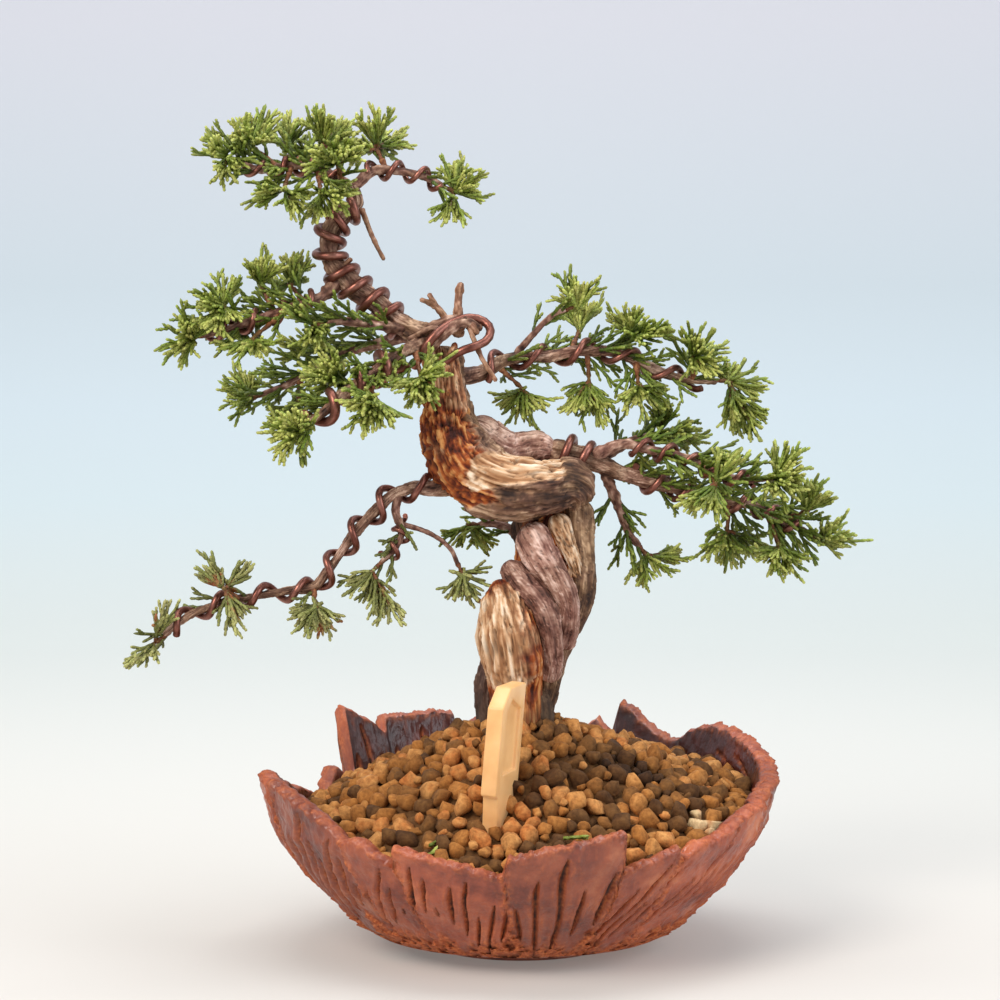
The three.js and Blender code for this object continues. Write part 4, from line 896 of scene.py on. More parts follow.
# %% [markdown]
# ## Trunk
# Each strand is rolled by itself and may run into its neighbour, as real strands fuse. Together
# with the branches and twigs they stand for the one solid of the frame's wood.

# %% The trunk's strands
STRAND_SURFACE = {
    "heart": bare_surface(0.6),
    "deadwood": bleached_surface,
    "mauve_strand": bark_surface(0.8),
    "purple_strand": bark_surface(0.9),
    "pale_wedge": bare_surface(0.0),
    "tan_strand": bark_surface(0.0),
    "dark_root": bark_surface(0.6, darkening=0.85),
    "right_root": bark_surface(0.0, darkening=0.3),
    "back_strand": bark_surface(0.3),
    "back_root": bark_surface(0.1),
    "elbow": elbow_surface,
    "torn_spike": bare_surface(0.5),
    "back_hump": bark_surface(0.7),
}


def wooden(name, points, step, surface, seed, material=old_wood):
    """A limb that stands for a part of the frame's wood."""
    piece = make_limb(name, points, step, surface, seed)
    settle(piece, material, "juniper_wood", "wood")
    return count_triangles(piece)


for number, (name, points) in enumerate(TRUNK.items()):
    total = wooden("trunk_" + name, points, TRUNK_STEP, STRAND_SURFACE[name], 10.0 * number)
    print(name, "triangles:", total)


# %% Branches, dead stubs, and the bark twigs that are tangled over the fork
THICK_BRANCH = 2.5  # mm of radius from which the bark flakes
FORK_TWIGS = {
    "fork_twig_1": [[-31, -5, 202, 2], [-26, -8, 207, 1.9], [-19, -7, 211, 1.7], [-13, -3, 209, 1.3]],
    "fork_twig_2": [[-34, -3, 206, 1.7], [-27, -5, 211, 1.5], [-20, -3, 212, 1.4], [-15, 1, 207, 1.1]],
    "fork_twig_3": [[-38, -6, 205, 1], [-30, -8, 209, 0.9], [-23, -8, 208, 0.9], [-18, -8, 213, 0.6]],
}
total = 0
for number, (name, points) in enumerate(BRANCHES.items()):
    surface = bark_surface(0.35) if points[0][3] > THICK_BRANCH else twig_surface(0.6)
    total += wooden("branch_" + name, points, BRANCH_STEP, surface, 200 + 7.0 * number)
for number, (name, points) in enumerate((STUBS | FORK_TWIGS).items()):
    surface = twig_surface(0.4, dead=0.35 if name in STUBS else 0.0)
    total += wooden(name, points, TWIG_STEP, surface, 400 + 7.0 * number)
print("branches, stubs and twigs, triangles:", total)

# %% [markdown]
# ## Training wire
# Bonsai wire is annealed aluminium, anodised copper-brown. It was wound by hand, so the coil keeps
# a small distance to the bark. It is a curve with a round bevel, which keeps its thickness all
# along, turned into a mesh at the end. Its sheen is satin, with soft bright lines along the coil.

# %% Wires: name, branch, start and end as shares of its length, turns, wire radius, first angle
WIRES = [
    ["wire_apex", "apex", 0.2, 0.9, 8, 1.5, 225],
    ["wire_top_left", "top_left", 0.12, 0.96, 4, 1, 45],
    ["wire_top_right", "top_right", 0.2, 0.97, 3, 1, 180],
    ["wire_left_upper", "left_upper", 0.2, 0.97, 4, 1.1, 0],
    ["wire_left_front", "left_front", 0.3, 0.97, 3.5, 1.6, 255],
    ["wire_right_upper", "right_upper", 0.12, 0.94, 5, 1.2, 120],
    ["wire_right_loop", "right_lower", 0.04, 0.17, 2, 1.5, 30],
    ["wire_right_lower", "right_lower", 0.32, 0.94, 6, 1.2, 240],
    ["wire_right_fork", "right_lower_fork", 0.24, 0.95, 5, 1, 60],
    ["wire_left_lower", "left_lower", 0.08, 0.97, 7.5, 1.25, 60],
    ["wire_left_drop", "left_lower_drop", 0.35, 0.92, 2.5, 0.9, 270],
]
WIRE_GAP = 0.5  # mm between wire and bark
WIRE_STEPS = 24  # points in a turn


def wire_angle(wire, share):
    """Angle of the wire round its branch at a share of the branch's length."""
    _, _, start, end, turns, _, first = wire
    return math.radians(first) + 2 * math.pi * turns * (share - start) / (end - start)


# %% Copper-brown anodised aluminium
anodised, tree, shader = new_material("copper_brown_anodised_aluminium", 0.34, Metallic=0.85)
where = add(tree, "ShaderNodeTexCoord").outputs["Object"]
fine = clouds(tree, where, 1500.0, 3.0)
copper = [(0.3, "#64392F"), (0.5, "#845448"), (0.7, "#9E6E60")]
dress(
    shader,
    Base_Color=ramp(tree, clouds(tree, where, 220.0, 4.0), copper),
    Roughness=spread(tree, fine, 0.26, 0.46),
    Normal=bumps(tree, fine, 0.2, 0.0002),
)
print("made", anodised.name)

# %% Winding the wires
def bend_wire(name, points, radius, *nodes):
    """A smooth wire through points in mm, for the nodes of the frame that it stands for."""
    wire = added(name, bpy.ops.curve.primitive_nurbs_path_add)
    spline = wire.data.splines[0]
    spline.points.add(len(points) - len(spline.points))
    for spot, point in zip(spline.points, points):
        spot.co = (*(np.array(point) * MM), 1)
    spline.use_endpoint_u = True
    spline.order_u = 3
    wire.data.resolution_u = 2
    wire.data.bevel_depth = radius * MM
    wire.data.bevel_resolution = 3
    wire.data.use_fill_caps = True
    wire.data.dimensions = "3D"
    only(wire)
    bpy.ops.object.convert(target="MESH")
    wire = bpy.context.object
    bpy.ops.object.shade_smooth()
    settle(wire, anodised, "wire_metal", *nodes)


limbs = {name: Limb(points) for name, points in BRANCHES.items()}
for number, row in enumerate(WIRES):
    name, branch, start, end, turns, radius, _ = row
    shares = np.linspace(start, end, round(turns * WIRE_STEPS) + 1)
    place, _, bark_radius, first, second = limbs[branch].at(shares)
    angle = wire_angle(row, shares)
    # wound by hand, so the coil is never quite even
    loose = 0.35 * np.abs(fractal(np.stack([angle / 3, 0 * angle, number * 7.3 + 0 * angle], axis=1), 2))
    away = (bark_radius + radius + WIRE_GAP + loose)[:, None]
    coil = place + away * (first * np.cos(angle)[:, None] + second * np.sin(angle)[:, None])
    bend_wire(name + "_coil", coil, radius, name)
print("coils:", len(WIRES))

# %% The loose loop of wire over the fork
LOOP_RADIUS = 1.5
LOOSE_LOOP = [
    [-36, -6, 196], [-33, -10, 201], [-29.5, -11, 206], [-25, -8, 210], [-19, -4, 213], [-13, -3, 212.5],
    [-9.5, -5, 209], [-11, -8.5, 204.5], [-16, -10.5, 202.5], [-21, -11, 201], [-25, -8, 198],
]
bend_wire("wire_loose_loop", LOOSE_LOOP, LOOP_RADIUS)
print("made the loose loop")

# %% [markdown]
# ## Granules
# The bowl is filled with sieved baked clay: hard, dusty crumbs of 3 to 8 mm, ochre, tan and brown.
# A few crumbs are cut from spheres by random planes and shaded smooth, which gives worn lumps with
# blunt edges. They are copied about eight hundred times over a mound that follows the frame's soil.
# Under them lies a rough dark brown bed, painted shade in the gaps, so that no gap shows through.

# %% The mound
SOIL_CROWN = 75
SOIL_FOOT = [46, 4, 8.5]  # mean height at the wall, and how much higher on the right and at the back
SOIL_UNDER_RIM = 2
ROOT_RADIUS = 13.5
BED_SINK = 2.4  # mm that the bed lies below the granules' mean height
BED_GAP = 1.2  # mm between the bed and the wall
BED_TOP = 0.8  # share of the grid that is the top of the bed; the rest is its flat underside
BED_LOW = 22.0  # height of the underside


def bowl_inside(angle, height):
    """Radius of the bowl's inside at an angle and a height."""
    return outer_radius(height, rim_at(np.degrees(angle))[1]) - BOWL_WALL


def soil_edge(angle):
    """Radius and height where the soil meets the wall."""
    mean, right, back = SOIL_FOOT
    under_rim = rim_at(np.degrees(angle))[0] - SOIL_UNDER_RIM
    edge = np.minimum(mean + right * np.cos(angle) + back * np.sin(angle), under_rim)
    return bowl_inside(angle, edge), edge


def soil_height(x, y):
    """Height of the soil, highest at the trunk and lower at the wall."""
    reach, edge = soil_edge(np.arctan2(y, x))
    share = (np.hypot(x, y) - ROOT_RADIUS) / (reach - ROOT_RADIUS)
    return SOIL_CROWN + np.clip(share, 0, 1.1) * (edge - SOIL_CROWN)


bed, turn, along = rolled_grid("soil_bed", 240, 110)
angle = turn * 2 * math.pi
reach, edge = soil_edge(angle)
on_top = along < BED_TOP
radius = np.where(on_top, along / BED_TOP, (1 - along) / (1 - BED_TOP)) * (reach - BED_GAP)
x, y = radius * np.cos(angle), radius * np.sin(angle)
rough = 1.1 * fractal(np.stack([x, y, 0 * x], axis=1) / 2.5, 4)
z = np.where(on_top, soil_height(x, y) - BED_SINK + rough, BED_LOW)
squeeze = np.minimum(1, (bowl_inside(angle, z) - BED_GAP) / np.maximum(radius, 1e-6))
# the bed's low tone is painted shade: the gaps between the granules show dark
attribute(bed.data, "tone", np.full(len(bed.data.vertices), 0.2))
put_vertices(bed, np.stack([x * squeeze, y * squeeze, z], axis=1))
print("bed triangles:", count_triangles(bed))

# %% Crumbs cut from spheres
CRUMB_KINDS = 8
CRUMB_CUTS = 9  # planes
BLUNT = 0.15  # corners nearer than this, in crumb radii, become one


def mesh_arrays(piece):
    """Corner points and triangles of a mesh, which is then removed."""
    corners = corners_of(piece)
    faces = [face.vertices[:] for face in piece.data.polygons if len(face.vertices) == 3]
    bpy.data.objects.remove(piece)
    return corners, np.array(faces)


def make_crumb(number):
    """One crumb of about unit size."""
    dice = random.Random(900 + number)
    crumb = added("crumb", bpy.ops.mesh.primitive_ico_sphere_add, subdivisions=2, radius=1.15)
    crumb.scale = (dice.uniform(0.95, 1.25), dice.uniform(0.8, 1.05), dice.uniform(0.65, 0.9))
    bpy.ops.object.transform_apply(location=False, rotation=False, scale=True)
    edit_all(crumb)
    for _ in range(CRUMB_CUTS):
        way = Vector((dice.uniform(-1, 1), dice.uniform(-1, 1), dice.uniform(-1, 1))).normalized()
        place = way * dice.uniform(0.5, 0.78)
        bpy.ops.mesh.select_all(action="SELECT")
        bpy.ops.mesh.bisect(plane_co=place, plane_no=way, clear_outer=True, use_fill=True)
    bpy.ops.mesh.select_all(action="SELECT")
    bpy.ops.mesh.remove_doubles(threshold=BLUNT)
    bpy.ops.mesh.quads_convert_to_tris()
    end_edit()
    return mesh_arrays(crumb)


# %% Many copies in one mesh
def copies(name, corners, faces, places, marks):
    """One mesh of many copies of a template: places is copies x corners x 3, in mm."""
    count, each = places.shape[:2]
    all_faces = (faces[None] + (np.arange(count) * each)[:, None, None]).reshape(-1, 3)
    mesh = bpy.data.meshes.new(name)
    mesh.vertices.add(count * each)
    mesh.vertices.foreach_set("co", (places * MM).ravel())
    mesh.loops.add(all_faces.size)
    mesh.loops.foreach_set("vertex_index", all_faces.ravel().astype(np.int32))
    mesh.polygons.add(len(all_faces))
    mesh.polygons.foreach_set("loop_start", np.arange(0, all_faces.size, 3, dtype=np.int32))
    mesh.update(calc_edges=True)
    mesh.validate()
    mesh.polygons.foreach_set("use_smooth", [True] * len(mesh.polygons))
    for key, values in marks.items():
        attribute(mesh, key, values)
    piece = bpy.data.objects.new(name, mesh)
    bpy.context.collection.objects.link(piece)
    return piece


crumbs = [make_crumb(number) for number in range(CRUMB_KINDS)]
print("crumb triangles:", [len(faces) for _, faces in crumbs])

# %% Where the granules lie
draw = np.random.default_rng(5)
GRANULE_COUNT = 4300  # to begin with; those that find no room are left out
GRANULE_SIZES = (1.5, 4.0)  # radii in mm
GRANULE_TRIES = 40  # places in which one granule is tried
TIGHT = 0.74  # how near two granules may come, as a share of both radii together
TRUNK_PLACE = (2, 8)  # x of the trunk's foot, and the radius that it keeps free
CELL = 6.0  # mm; near granules are looked for in the cells around


def scatter_granules():
    """Places that keep a distance to each other, the large granules first."""
    least, most = GRANULE_SIZES
    sizes = least + (most - least) * draw.random(GRANULE_COUNT) ** 1.6
    kept, cells = [], {}
    for size in sorted(sizes, reverse=True):
        for _ in range(GRANULE_TRIES):
            angle, share = 2 * math.pi * draw.random(), math.sqrt(draw.random())
            radius = share * (soil_edge(angle)[0] - 0.8 * size)
            x, y = float(radius * math.cos(angle)), float(radius * math.sin(angle))
            if math.hypot(x - TRUNK_PLACE[0], y) < TRUNK_PLACE[1]:
                continue
            i, j = int(x // CELL), int(y // CELL)
            home = [spot for a in (-1, 0, 1) for b in (-1, 0, 1) for spot in cells.get((i + a, j + b), [])]
            if all(math.hypot(x - a, y - b) > TIGHT * (size + c) for a, b, c in home):
                cells.setdefault((i, j), []).append((x, y, size))
                kept.append((x, y, size))
                break
    return np.array(kept)


granules = scatter_granules()
print("granules:", len(granules))


# %% Turns of the granules
def random_turns(count):
    """Random rotation matrices."""
    w, x, y, z = unit(draw.normal(size=(count, 4))).T
    return np.stack([
        1 - 2 * (y * y + z * z), 2 * (x * y - z * w), 2 * (x * z + y * w),
        2 * (x * y + z * w), 1 - 2 * (x * x + z * z), 2 * (y * z - x * w),
        2 * (x * z - y * w), 2 * (y * z + x * w), 1 - 2 * (x * x + y * y),
    ], axis=1).reshape(-1, 3, 3)

# %% Baked clay
baked, tree, shader = new_material("baked_clay_granules", 0.92, Specular_IOR_Level=0.3)
where = add(tree, "ShaderNodeTexCoord").outputs["Object"]
dust = clouds(tree, where, 600.0, 5.0, 0.65)
blotch = spread(tree, clouds(tree, where, 260.0, 3.0), -0.12, 0.12)
kinds = ramp(tree, reckon(tree, "ADD", mark(tree, "tone"), blotch, clamp=True), [
    (0.0, "#2A1C12"), (0.1, "#543820"), (0.25, "#7C5730"), (0.42, "#A46F38"), (0.62, "#BE8040"),
    (0.8, "#DAA060"), (0.92, "#C87638"), (1.0, "#EACFA2"),
])
shade = ramp(tree, dust, [(0.3, "#806C5C"), (0.5, "#D2C6BA"), (0.7, "#FFFFFF")])
dress(
    shader,
    Base_Color=blend(tree, 0.7, kinds, shade, blend_type="MULTIPLY"),
    Normal=bumps(tree, dust, 0.8, 0.0006),
)
settle(bed, baked, "granules", "soil")
print("made", baked.name)

# %% The granules, in one piece for each crumb
HUMUS_PLACE = (38, -22)  # a dark crumbly patch, and how far it reaches
HUMUS_REACH = (20, 14)
PALE_PLACE = (62, -40)  # a few pale grits near the rim, and how far they lie
PALE_REACH = 9
kind = draw.integers(0, len(crumbs), len(granules))
tones = draw.random(len(granules)) * 0.85 + 0.12
off_x, off_y = granules[:, 0] - HUMUS_PLACE[0], granules[:, 1] - HUMUS_PLACE[1]
humus = np.exp(-((off_x / HUMUS_REACH[0]) ** 2) - (off_y / HUMUS_REACH[1]) ** 2)
tones = tones * (1 - 0.95 * humus * (draw.random(len(granules)) < 0.75))
pale = np.hypot(granules[:, 0] - PALE_PLACE[0], granules[:, 1] - PALE_PLACE[1]) < PALE_REACH
tones = np.where(pale & (draw.random(len(granules)) < 0.6), 1.0, np.minimum(tones, 0.86))
lift = 0.35 * granules[:, 2] * draw.normal(size=len(granules))
for number, (corners, faces) in enumerate(crumbs):
    mine = kind == number
    x, y, size = granules[mine].T
    centres = np.stack([x, y, soil_height(x, y) - 0.3 * size + np.clip(lift[mine], -1, 0.9)], axis=1)
    spun = np.einsum("nij,vj->nvi", random_turns(len(x)), corners)
    places = centres[:, None] + size[:, None, None] * spun
    shades = {"tone": np.repeat(tones[mine], len(corners))}
    piece = copies("granules_%d" % (number + 1), corners, faces, places, shades)
    settle(piece, baked, "granules", "soil")
    print(piece.name, count_triangles(piece))


# %% [markdown]
# ## The plant label
# A blank tag of cream polypropylene, injection moulded, with a sunken panel on each side and a thin
# foot pushed into the soil. The outline is drawn on a flat disc, extruded to its thickness, and the
# panels are cut by a Boolean. Its edges are rounded by a bevel, since a moulded edge is never sharp
# and catches a line of light.

# %% The plant label
LABEL_PLACE = [-14.5, -59, 43]
LABEL_TURN = -16  # degrees
LABEL_LEAN = 5
LABEL_THICK = 5.2
LABEL_SINK = 1.5  # depth of the panel on each side
LABEL_ROUND = 0.6  # radius of the edges
LABEL_OUTLINE = [[9, -12], [14, -12], [22, 6], [26, 18], [26, 50], [8, 50], [0, 44], [0, 16], [3, 15]]
LABEL_PANEL = [[6, 22], [22, 22], [22, 42], [11, 46], [6, 42]]


# %% A flat plate, and a modifier
def label_plate(name, outline, low, high):
    """A flat plate of an outline in (distance back, height), between two levels of thickness."""
    plate = added(name, bpy.ops.mesh.primitive_circle_add, vertices=len(outline), fill_type="NGON")
    for vertex, (back, height) in zip(plate.data.vertices, outline):
        vertex.co = Vector((low, back, height)) * MM
    edit_all(plate)
    bpy.ops.mesh.extrude_region_move(TRANSFORM_OT_translate={"value": ((high - low) * MM, 0, 0)})
    end_edit()
    return plate


def apply_modifier(piece, kind, **settings):
    """Adds a modifier with its settings, and applies it."""
    only(piece)
    modifier = piece.modifiers.new(kind.lower(), kind)
    for key, value in settings.items():
        setattr(modifier, key, value)
    bpy.ops.object.modifier_apply(modifier=modifier.name)


# %% The label is cut and rounded
label = label_plate("label_tag", LABEL_OUTLINE, 0, LABEL_THICK)
for low, high in ((LABEL_THICK - LABEL_SINK, LABEL_THICK + 1), (-1, LABEL_SINK)):
    cutter = label_plate("panel_cutter", LABEL_PANEL, low, high)
    apply_modifier(label, "BOOLEAN", operation="DIFFERENCE", object=cutter, solver="EXACT")
    bpy.data.objects.remove(cutter)
apply_modifier(label, "BEVEL", width=LABEL_ROUND * MM, segments=3, limit_method="ANGLE")
lean = Matrix.Rotation(math.radians(LABEL_LEAN), 4, "Y")
swing = Matrix.Rotation(math.radians(LABEL_TURN), 4, "Z")
label.data.transform(Matrix.Translation(Vector(LABEL_PLACE) * MM) @ swing @ lean)
only(label)
bpy.ops.object.shade_smooth_by_angle(angle=math.radians(40))
print("label triangles:", count_triangles(label))

# %% Cream plastic
# the faint glow in the label's own colour is painted light that brightens its shaded side
cream, tree, shader = new_material(
    "cream_moulded_polypropylene", 0.42, Subsurface_Weight=0.35, Emission_Strength=0.2
)
where = add(tree, "ShaderNodeTexCoord").outputs["Object"]
stain = ramp(tree, clouds(tree, where, 90.0, 5.0), [(0.3, "#D0965A"), (0.5, "#DCA86C"), (0.7, "#E4B47A")])
dress(
    shader,
    Base_Color=stain,
    Emission_Color="#F2C890",
    Subsurface_Radius=(0.004, 0.003, 0.0015),
    Normal=bumps(tree, clouds(tree, where, 1800.0, 2.0), 0.15, 0.0002),
)
settle(label, cream, "label_plastic", "plant_label")
print("made", cream.name)

# %% [markdown]
# ## The net over the drain holes
# A black plastic net keeps the granules from falling through the holes in the foot. It lies under
# them and shows from nowhere, so the frame's own mesh is kept and only gets its finish.

# %% The net over the drain holes
net, tree, shader = new_material("black_polyethylene_net", 0.6)
dust = clouds(tree, add(tree, "ShaderNodeTexCoord").outputs["Object"], 300.0, 4.0)
dress(shader, Base_Color=ramp(tree, dust, [(0.4, "#1C1E20"), (0.7, "#3A3836")]))
drain = bpy.data.objects["drain_mesh"]
drain.data.materials.clear()
drain.data.materials.append(net)
print("made", net.name)

# %% [markdown]
# ## Sprays of scale leaves
# Juniper has no flat leaves. Its shoots are thin green cords covered in small scales that lie like
# roof tiles, and they branch to the left and right in turn into soft feathers. One cord is modelled
# once: a bar with a few rings whose radius swings in and out, so that its outline shows the scales.
# Each spray then grows along its stems from the frame. Further stems grow between them, and every
# stem bears feathers. Leaf cards would be lighter, but they look like paper from the side.

# %% Sprays: name, branch, share of its length, fork, tips of the stems
SPRAYS = [
    ["top_1", "top_left", 1, None, [-106, -14, 270], [-99, -24, 256], [-104, 2, 276]],
    ["top_2", "top_left", 0.74, [-91, -2, 271], [-94, 2, 283], [-86, 8, 285], [-95, -22, 272]],
    ["top_3", "top_left", 0.5, [-80, 8, 272], [-79, 12, 287], [-89, 30, 278]],
    ["top_4", "top_left", 0.45, [-79, -14, 255], [-89, -26, 252], [-72, -28, 245]],
    ["top_5", "top_left", 0.2, [-67, 4, 271], [-69, 0, 287], [-61, 22, 285], [-72, 38, 276]],
    ["top_6", "top_left", 0.25, [-67, -10, 255], [-70, -16, 241], [-59, -30, 251]],
    ["top_7", "top_right", 0.35, [-49, 4, 271], [-47, -6, 284], [-40, 22, 278], [-52, 38, 275]],
    ["top_8", "top_left", 0.1, [-61, -16, 263], [-68, -36, 265], [-55, -34, 265]],
    ["top_9", "top_right", 1, None, [-18, 12, 271], [-12, 3, 258], [-25, -4, 243]],
    ["high_1", "left_upper", 1, None, [-116, -22, 199], [-109, -26, 211]],
    ["high_2", "left_upper", 0.72, [-99, -18, 216], [-106, -26, 217], [-97, -12, 226], [-101, -32, 205]],
    ["high_3", "left_upper", 0.48, [-87, -10, 223], [-87, -18, 234], [-83, 4, 232]],
    ["high_4", "left_upper", 0.3, [-78, 0, 224], [-74, 4, 236], [-83, 22, 228]],
    ["high_5", "left_upper", 0.5, [-89, -20, 205], [-97, -26, 198], [-84, -34, 197], [-96, 4, 204]],
    ["mid_1", "left_back", 1, None, [-104, 20, 190], [-99, 30, 197], [-97, 10, 182]],
    ["mid_2", "left_back", 0.75, [-77, 16, 185], [-87, 10, 175], [-78, 24, 173]],
    ["mid_3", "left_back", 0.55, [-70, 16, 203], [-86, 16, 203], [-78, 30, 207], [-64, 40, 196]],
    ["mid_4", "left_front", 1, None, [-81, -50, 170], [-74, -58, 181], [-72, -46, 167]],
    ["mid_5", "left_front", 0.6, [-60, -26, 191], [-74, -16, 193], [-63, -36, 198], [-70, -40, 187]],
    ["mid_6", "left_front", 0.5, [-47, -42, 185], [-51, -48, 172], [-40, -54, 176], [-55, -58, 181]],
    ["mid_7", "left_front", 0.14, [-33, -21, 192], [-26, -24, 195], [-32, -30, 182], [-40, -34, 185]],
    ["mid_8", "left_top", 1, None, [-80, -20, 214], [-68, -31, 202]],
    ["right_1", "right_upper", 1, None, [87, 20, 188], [85, 14, 169], [76, 26, 197]],
    ["right_2", "right_upper", 0.85, [60, 12, 200], [59, 2, 208], [70, 30, 205], [66, 0, 192]],
    ["right_3", "right_upper", 0.66, [40, 14, 207], [49, -2, 207], [41, 26, 214], [32, 10, 218]],
    ["right_4", "right_upper", 0.64, [41, 10, 190], [39, 2, 181], [51, 22, 185]],
    ["right_5", "right_upper", 0.46, [24, 14, 192], [30, 8, 173], [24, 16, 178], [15, 8, 179]],
    ["right_6", "right_upper", 0.24, [1, 13, 189], [9, 6, 180], [1, 14, 176], [-10, 16, 182]],
    ["right_7", "right_upper_twig", 1, None, [22, 0, 226], [12, 2, 222]],
    ["right_8", "right_upper", 0.47, [21, 20, 210], [24, 22, 221], [19, 30, 219]],
    ["low_1", "right_lower", 1, None, [115, 16, 134], [109, 4, 143]],
    ["low_2", "right_lower", 0.88, [99, 8, 147], [107, 2, 155], [99, 14, 159]],
    ["low_3", "right_lower", 0.82, [89, 6, 135], [94, 0, 124], [81, -6, 129]],
    ["low_4", "right_lower", 0.68, [72, 14, 140], [75, 22, 124], [63, -2, 130], [86, 34, 133]],
    ["low_5", "right_lower_fork", 1, None, [97, -10, 163], [92, -2, 171], [86, -22, 151]],
    ["low_6", "right_lower_fork", 0.68, [65, -16, 157], [74, -14, 170], [61, -26, 145], [52, -20, 147]],
    ["low_7", "right_lower_rise", 1, None, [58, 6, 173], [52, 16, 188], [69, 34, 169]],
    ["low_8", "right_lower_drop", 1, None, [48, 14, 123], [38, 20, 124], [59, 26, 132]],
    ["far_1", "left_lower", 1, None, [-133, -22, 94], [-117, -26, 119], [-122, -30, 98]],
    ["far_2", "left_lower", 0.76, [-98, -24, 122], [-107, -22, 131], [-93, -26, 105], [-88, -20, 132]],
    ["far_3", "left_lower", 0.52, [-68, -20, 116], [-67, -20, 105], [-74, -24, 110]],
    ["far_4", "left_lower_drop", 1, None, [-58, -16, 121], [-39, -18, 107], [-48, -8, 111]],
    ["far_5", "left_lower_twig", 1, None, [-21, -5, 116], [-14, -4, 124]],
    ["behind_1", "back_low", 1, None, [-24, 22, 133], [-12, 28, 133]],
]
STEM_NECK = 3.5  # mm from the end of a branch to where the stems part
FRAME_GAP = 0.3  # mm from a branch to the stem that starts on it


def share_behind_wire(branch, wanted, towards):
    """The share nearest to the wanted one where the wire is on the far side from a twig."""
    wire = next((row for row in WIRES if row[1] == branch), None)
    if not wire or not wire[2] <= wanted <= wire[3]:
        return wanted
    _, _, start, end, turns, *_ = wire
    place, _, _, first, second = (part[0] for part in limbs[branch].at(wanted))
    out = towards - place
    twig = math.atan2(out @ second, out @ first)
    off = (twig + math.pi - wire_angle(wire, wanted)) / (2 * math.pi)
    return wanted + (off - round(off)) * ((end - start) / turns)


def spray_points(row):
    """A spray's root, fork and tips, and the twig of the branch that bears it."""
    _, branch, share, fork, *tips = row
    tips = [np.array(tip, float) for tip in tips]
    if fork is None:
        place, way, *_ = (part[0] for part in limbs[branch].at(1.0))
        root = place + FRAME_GAP * way
        return root, root + STEM_NECK * way, tips, None
    fork = np.array(fork, float)
    borne = share_behind_wire(branch, share, fork)
    place, _, radius, *_ = (part[0] for part in limbs[branch].at(borne))
    way = unit(fork - place)
    end = place + way * max(0.5 * np.linalg.norm(fork - place), radius + 2.8)
    return end + FRAME_GAP * way, fork, tips, (place, end)


# %% One cord, modelled once
CORD_SIDES = 4
CORD_RINGS = [(0.0, 0.9), (0.2, 1.08), (0.4, 0.88), (0.6, 1.06), (0.78, 0.86), (0.93, 0.8)]
cord = added(
    "cord", bpy.ops.mesh.primitive_cone_add, vertices=CORD_SIDES, radius1=1, radius2=0, depth=1,
    location=(0, 0, 0.5),
)
bpy.ops.object.transform_apply(location=True)
edit_all(cord)
for level, _ in CORD_RINGS[1:]:
    bpy.ops.mesh.select_all(action="SELECT")
    bpy.ops.mesh.bisect(plane_co=(0, 0, level), plane_no=(0, 0, 1))
bpy.ops.mesh.select_all(action="SELECT")
bpy.ops.mesh.quads_convert_to_tris()
end_edit()
corners, cord_faces = mesh_arrays(cord)
levels = corners[:, 2]
around = np.arctan2(corners[:, 1], corners[:, 0])
ring_levels, ring_swells = (list(column) for column in zip(*CORD_RINGS))
swell = np.interp(levels, ring_levels + [1.0], ring_swells + [0.0])
# each ring is turned by half a side, so that its scales lie between those of the ring below
around = around + np.interp(levels, ring_levels, np.arange(len(CORD_RINGS)) * math.pi / 4)
cord_corners = np.stack([swell * np.cos(around), swell * np.sin(around), levels], axis=1)
print("cord triangles:", len(cord_faces))

# %% Directions
SKY = np.array([0.0, 0.0, 1.0])
STEEP = 0.85  # an upright stem takes its sides from the depth instead


def beside(way):
    """A direction to the side of a stem, level where the stem isn't steep."""
    return unit(np.cross(way, SKY if abs(way[2]) < STEEP else DEPTH))


def turned(way, side, spin):
    """The direction that a side comes to when it is turned round a stem."""
    return side * math.cos(spin) + np.cross(side, way) * math.sin(spin)


def leaning(way, out, degrees):
    """A direction that leans away from another."""
    angle = math.radians(degrees)
    return unit(way * math.cos(angle) + out * math.sin(angle))


# %% A spray grows
FEATHER_EVERY = 2.2  # mm between feathers on a stem
FEATHER_LENGTH = 12.0
FEATHER_LEAN = 33  # degrees
BUSH_LEAN = 50
SHOOT_EVERY = 2.2  # mm between the small shoots on a feather
SHOOT_LENGTH = 6.2
SHOOT_LEAN = 31
FULL_FEATHER = 9  # mm; shorter feathers have shorter shoots
CORD_RADIUS = 0.7
TIP_CORD = 5.5  # the last stretch of a stem is one feather
OVERHANG = 3.5  # mm that the shoots reach beyond the end of the feather


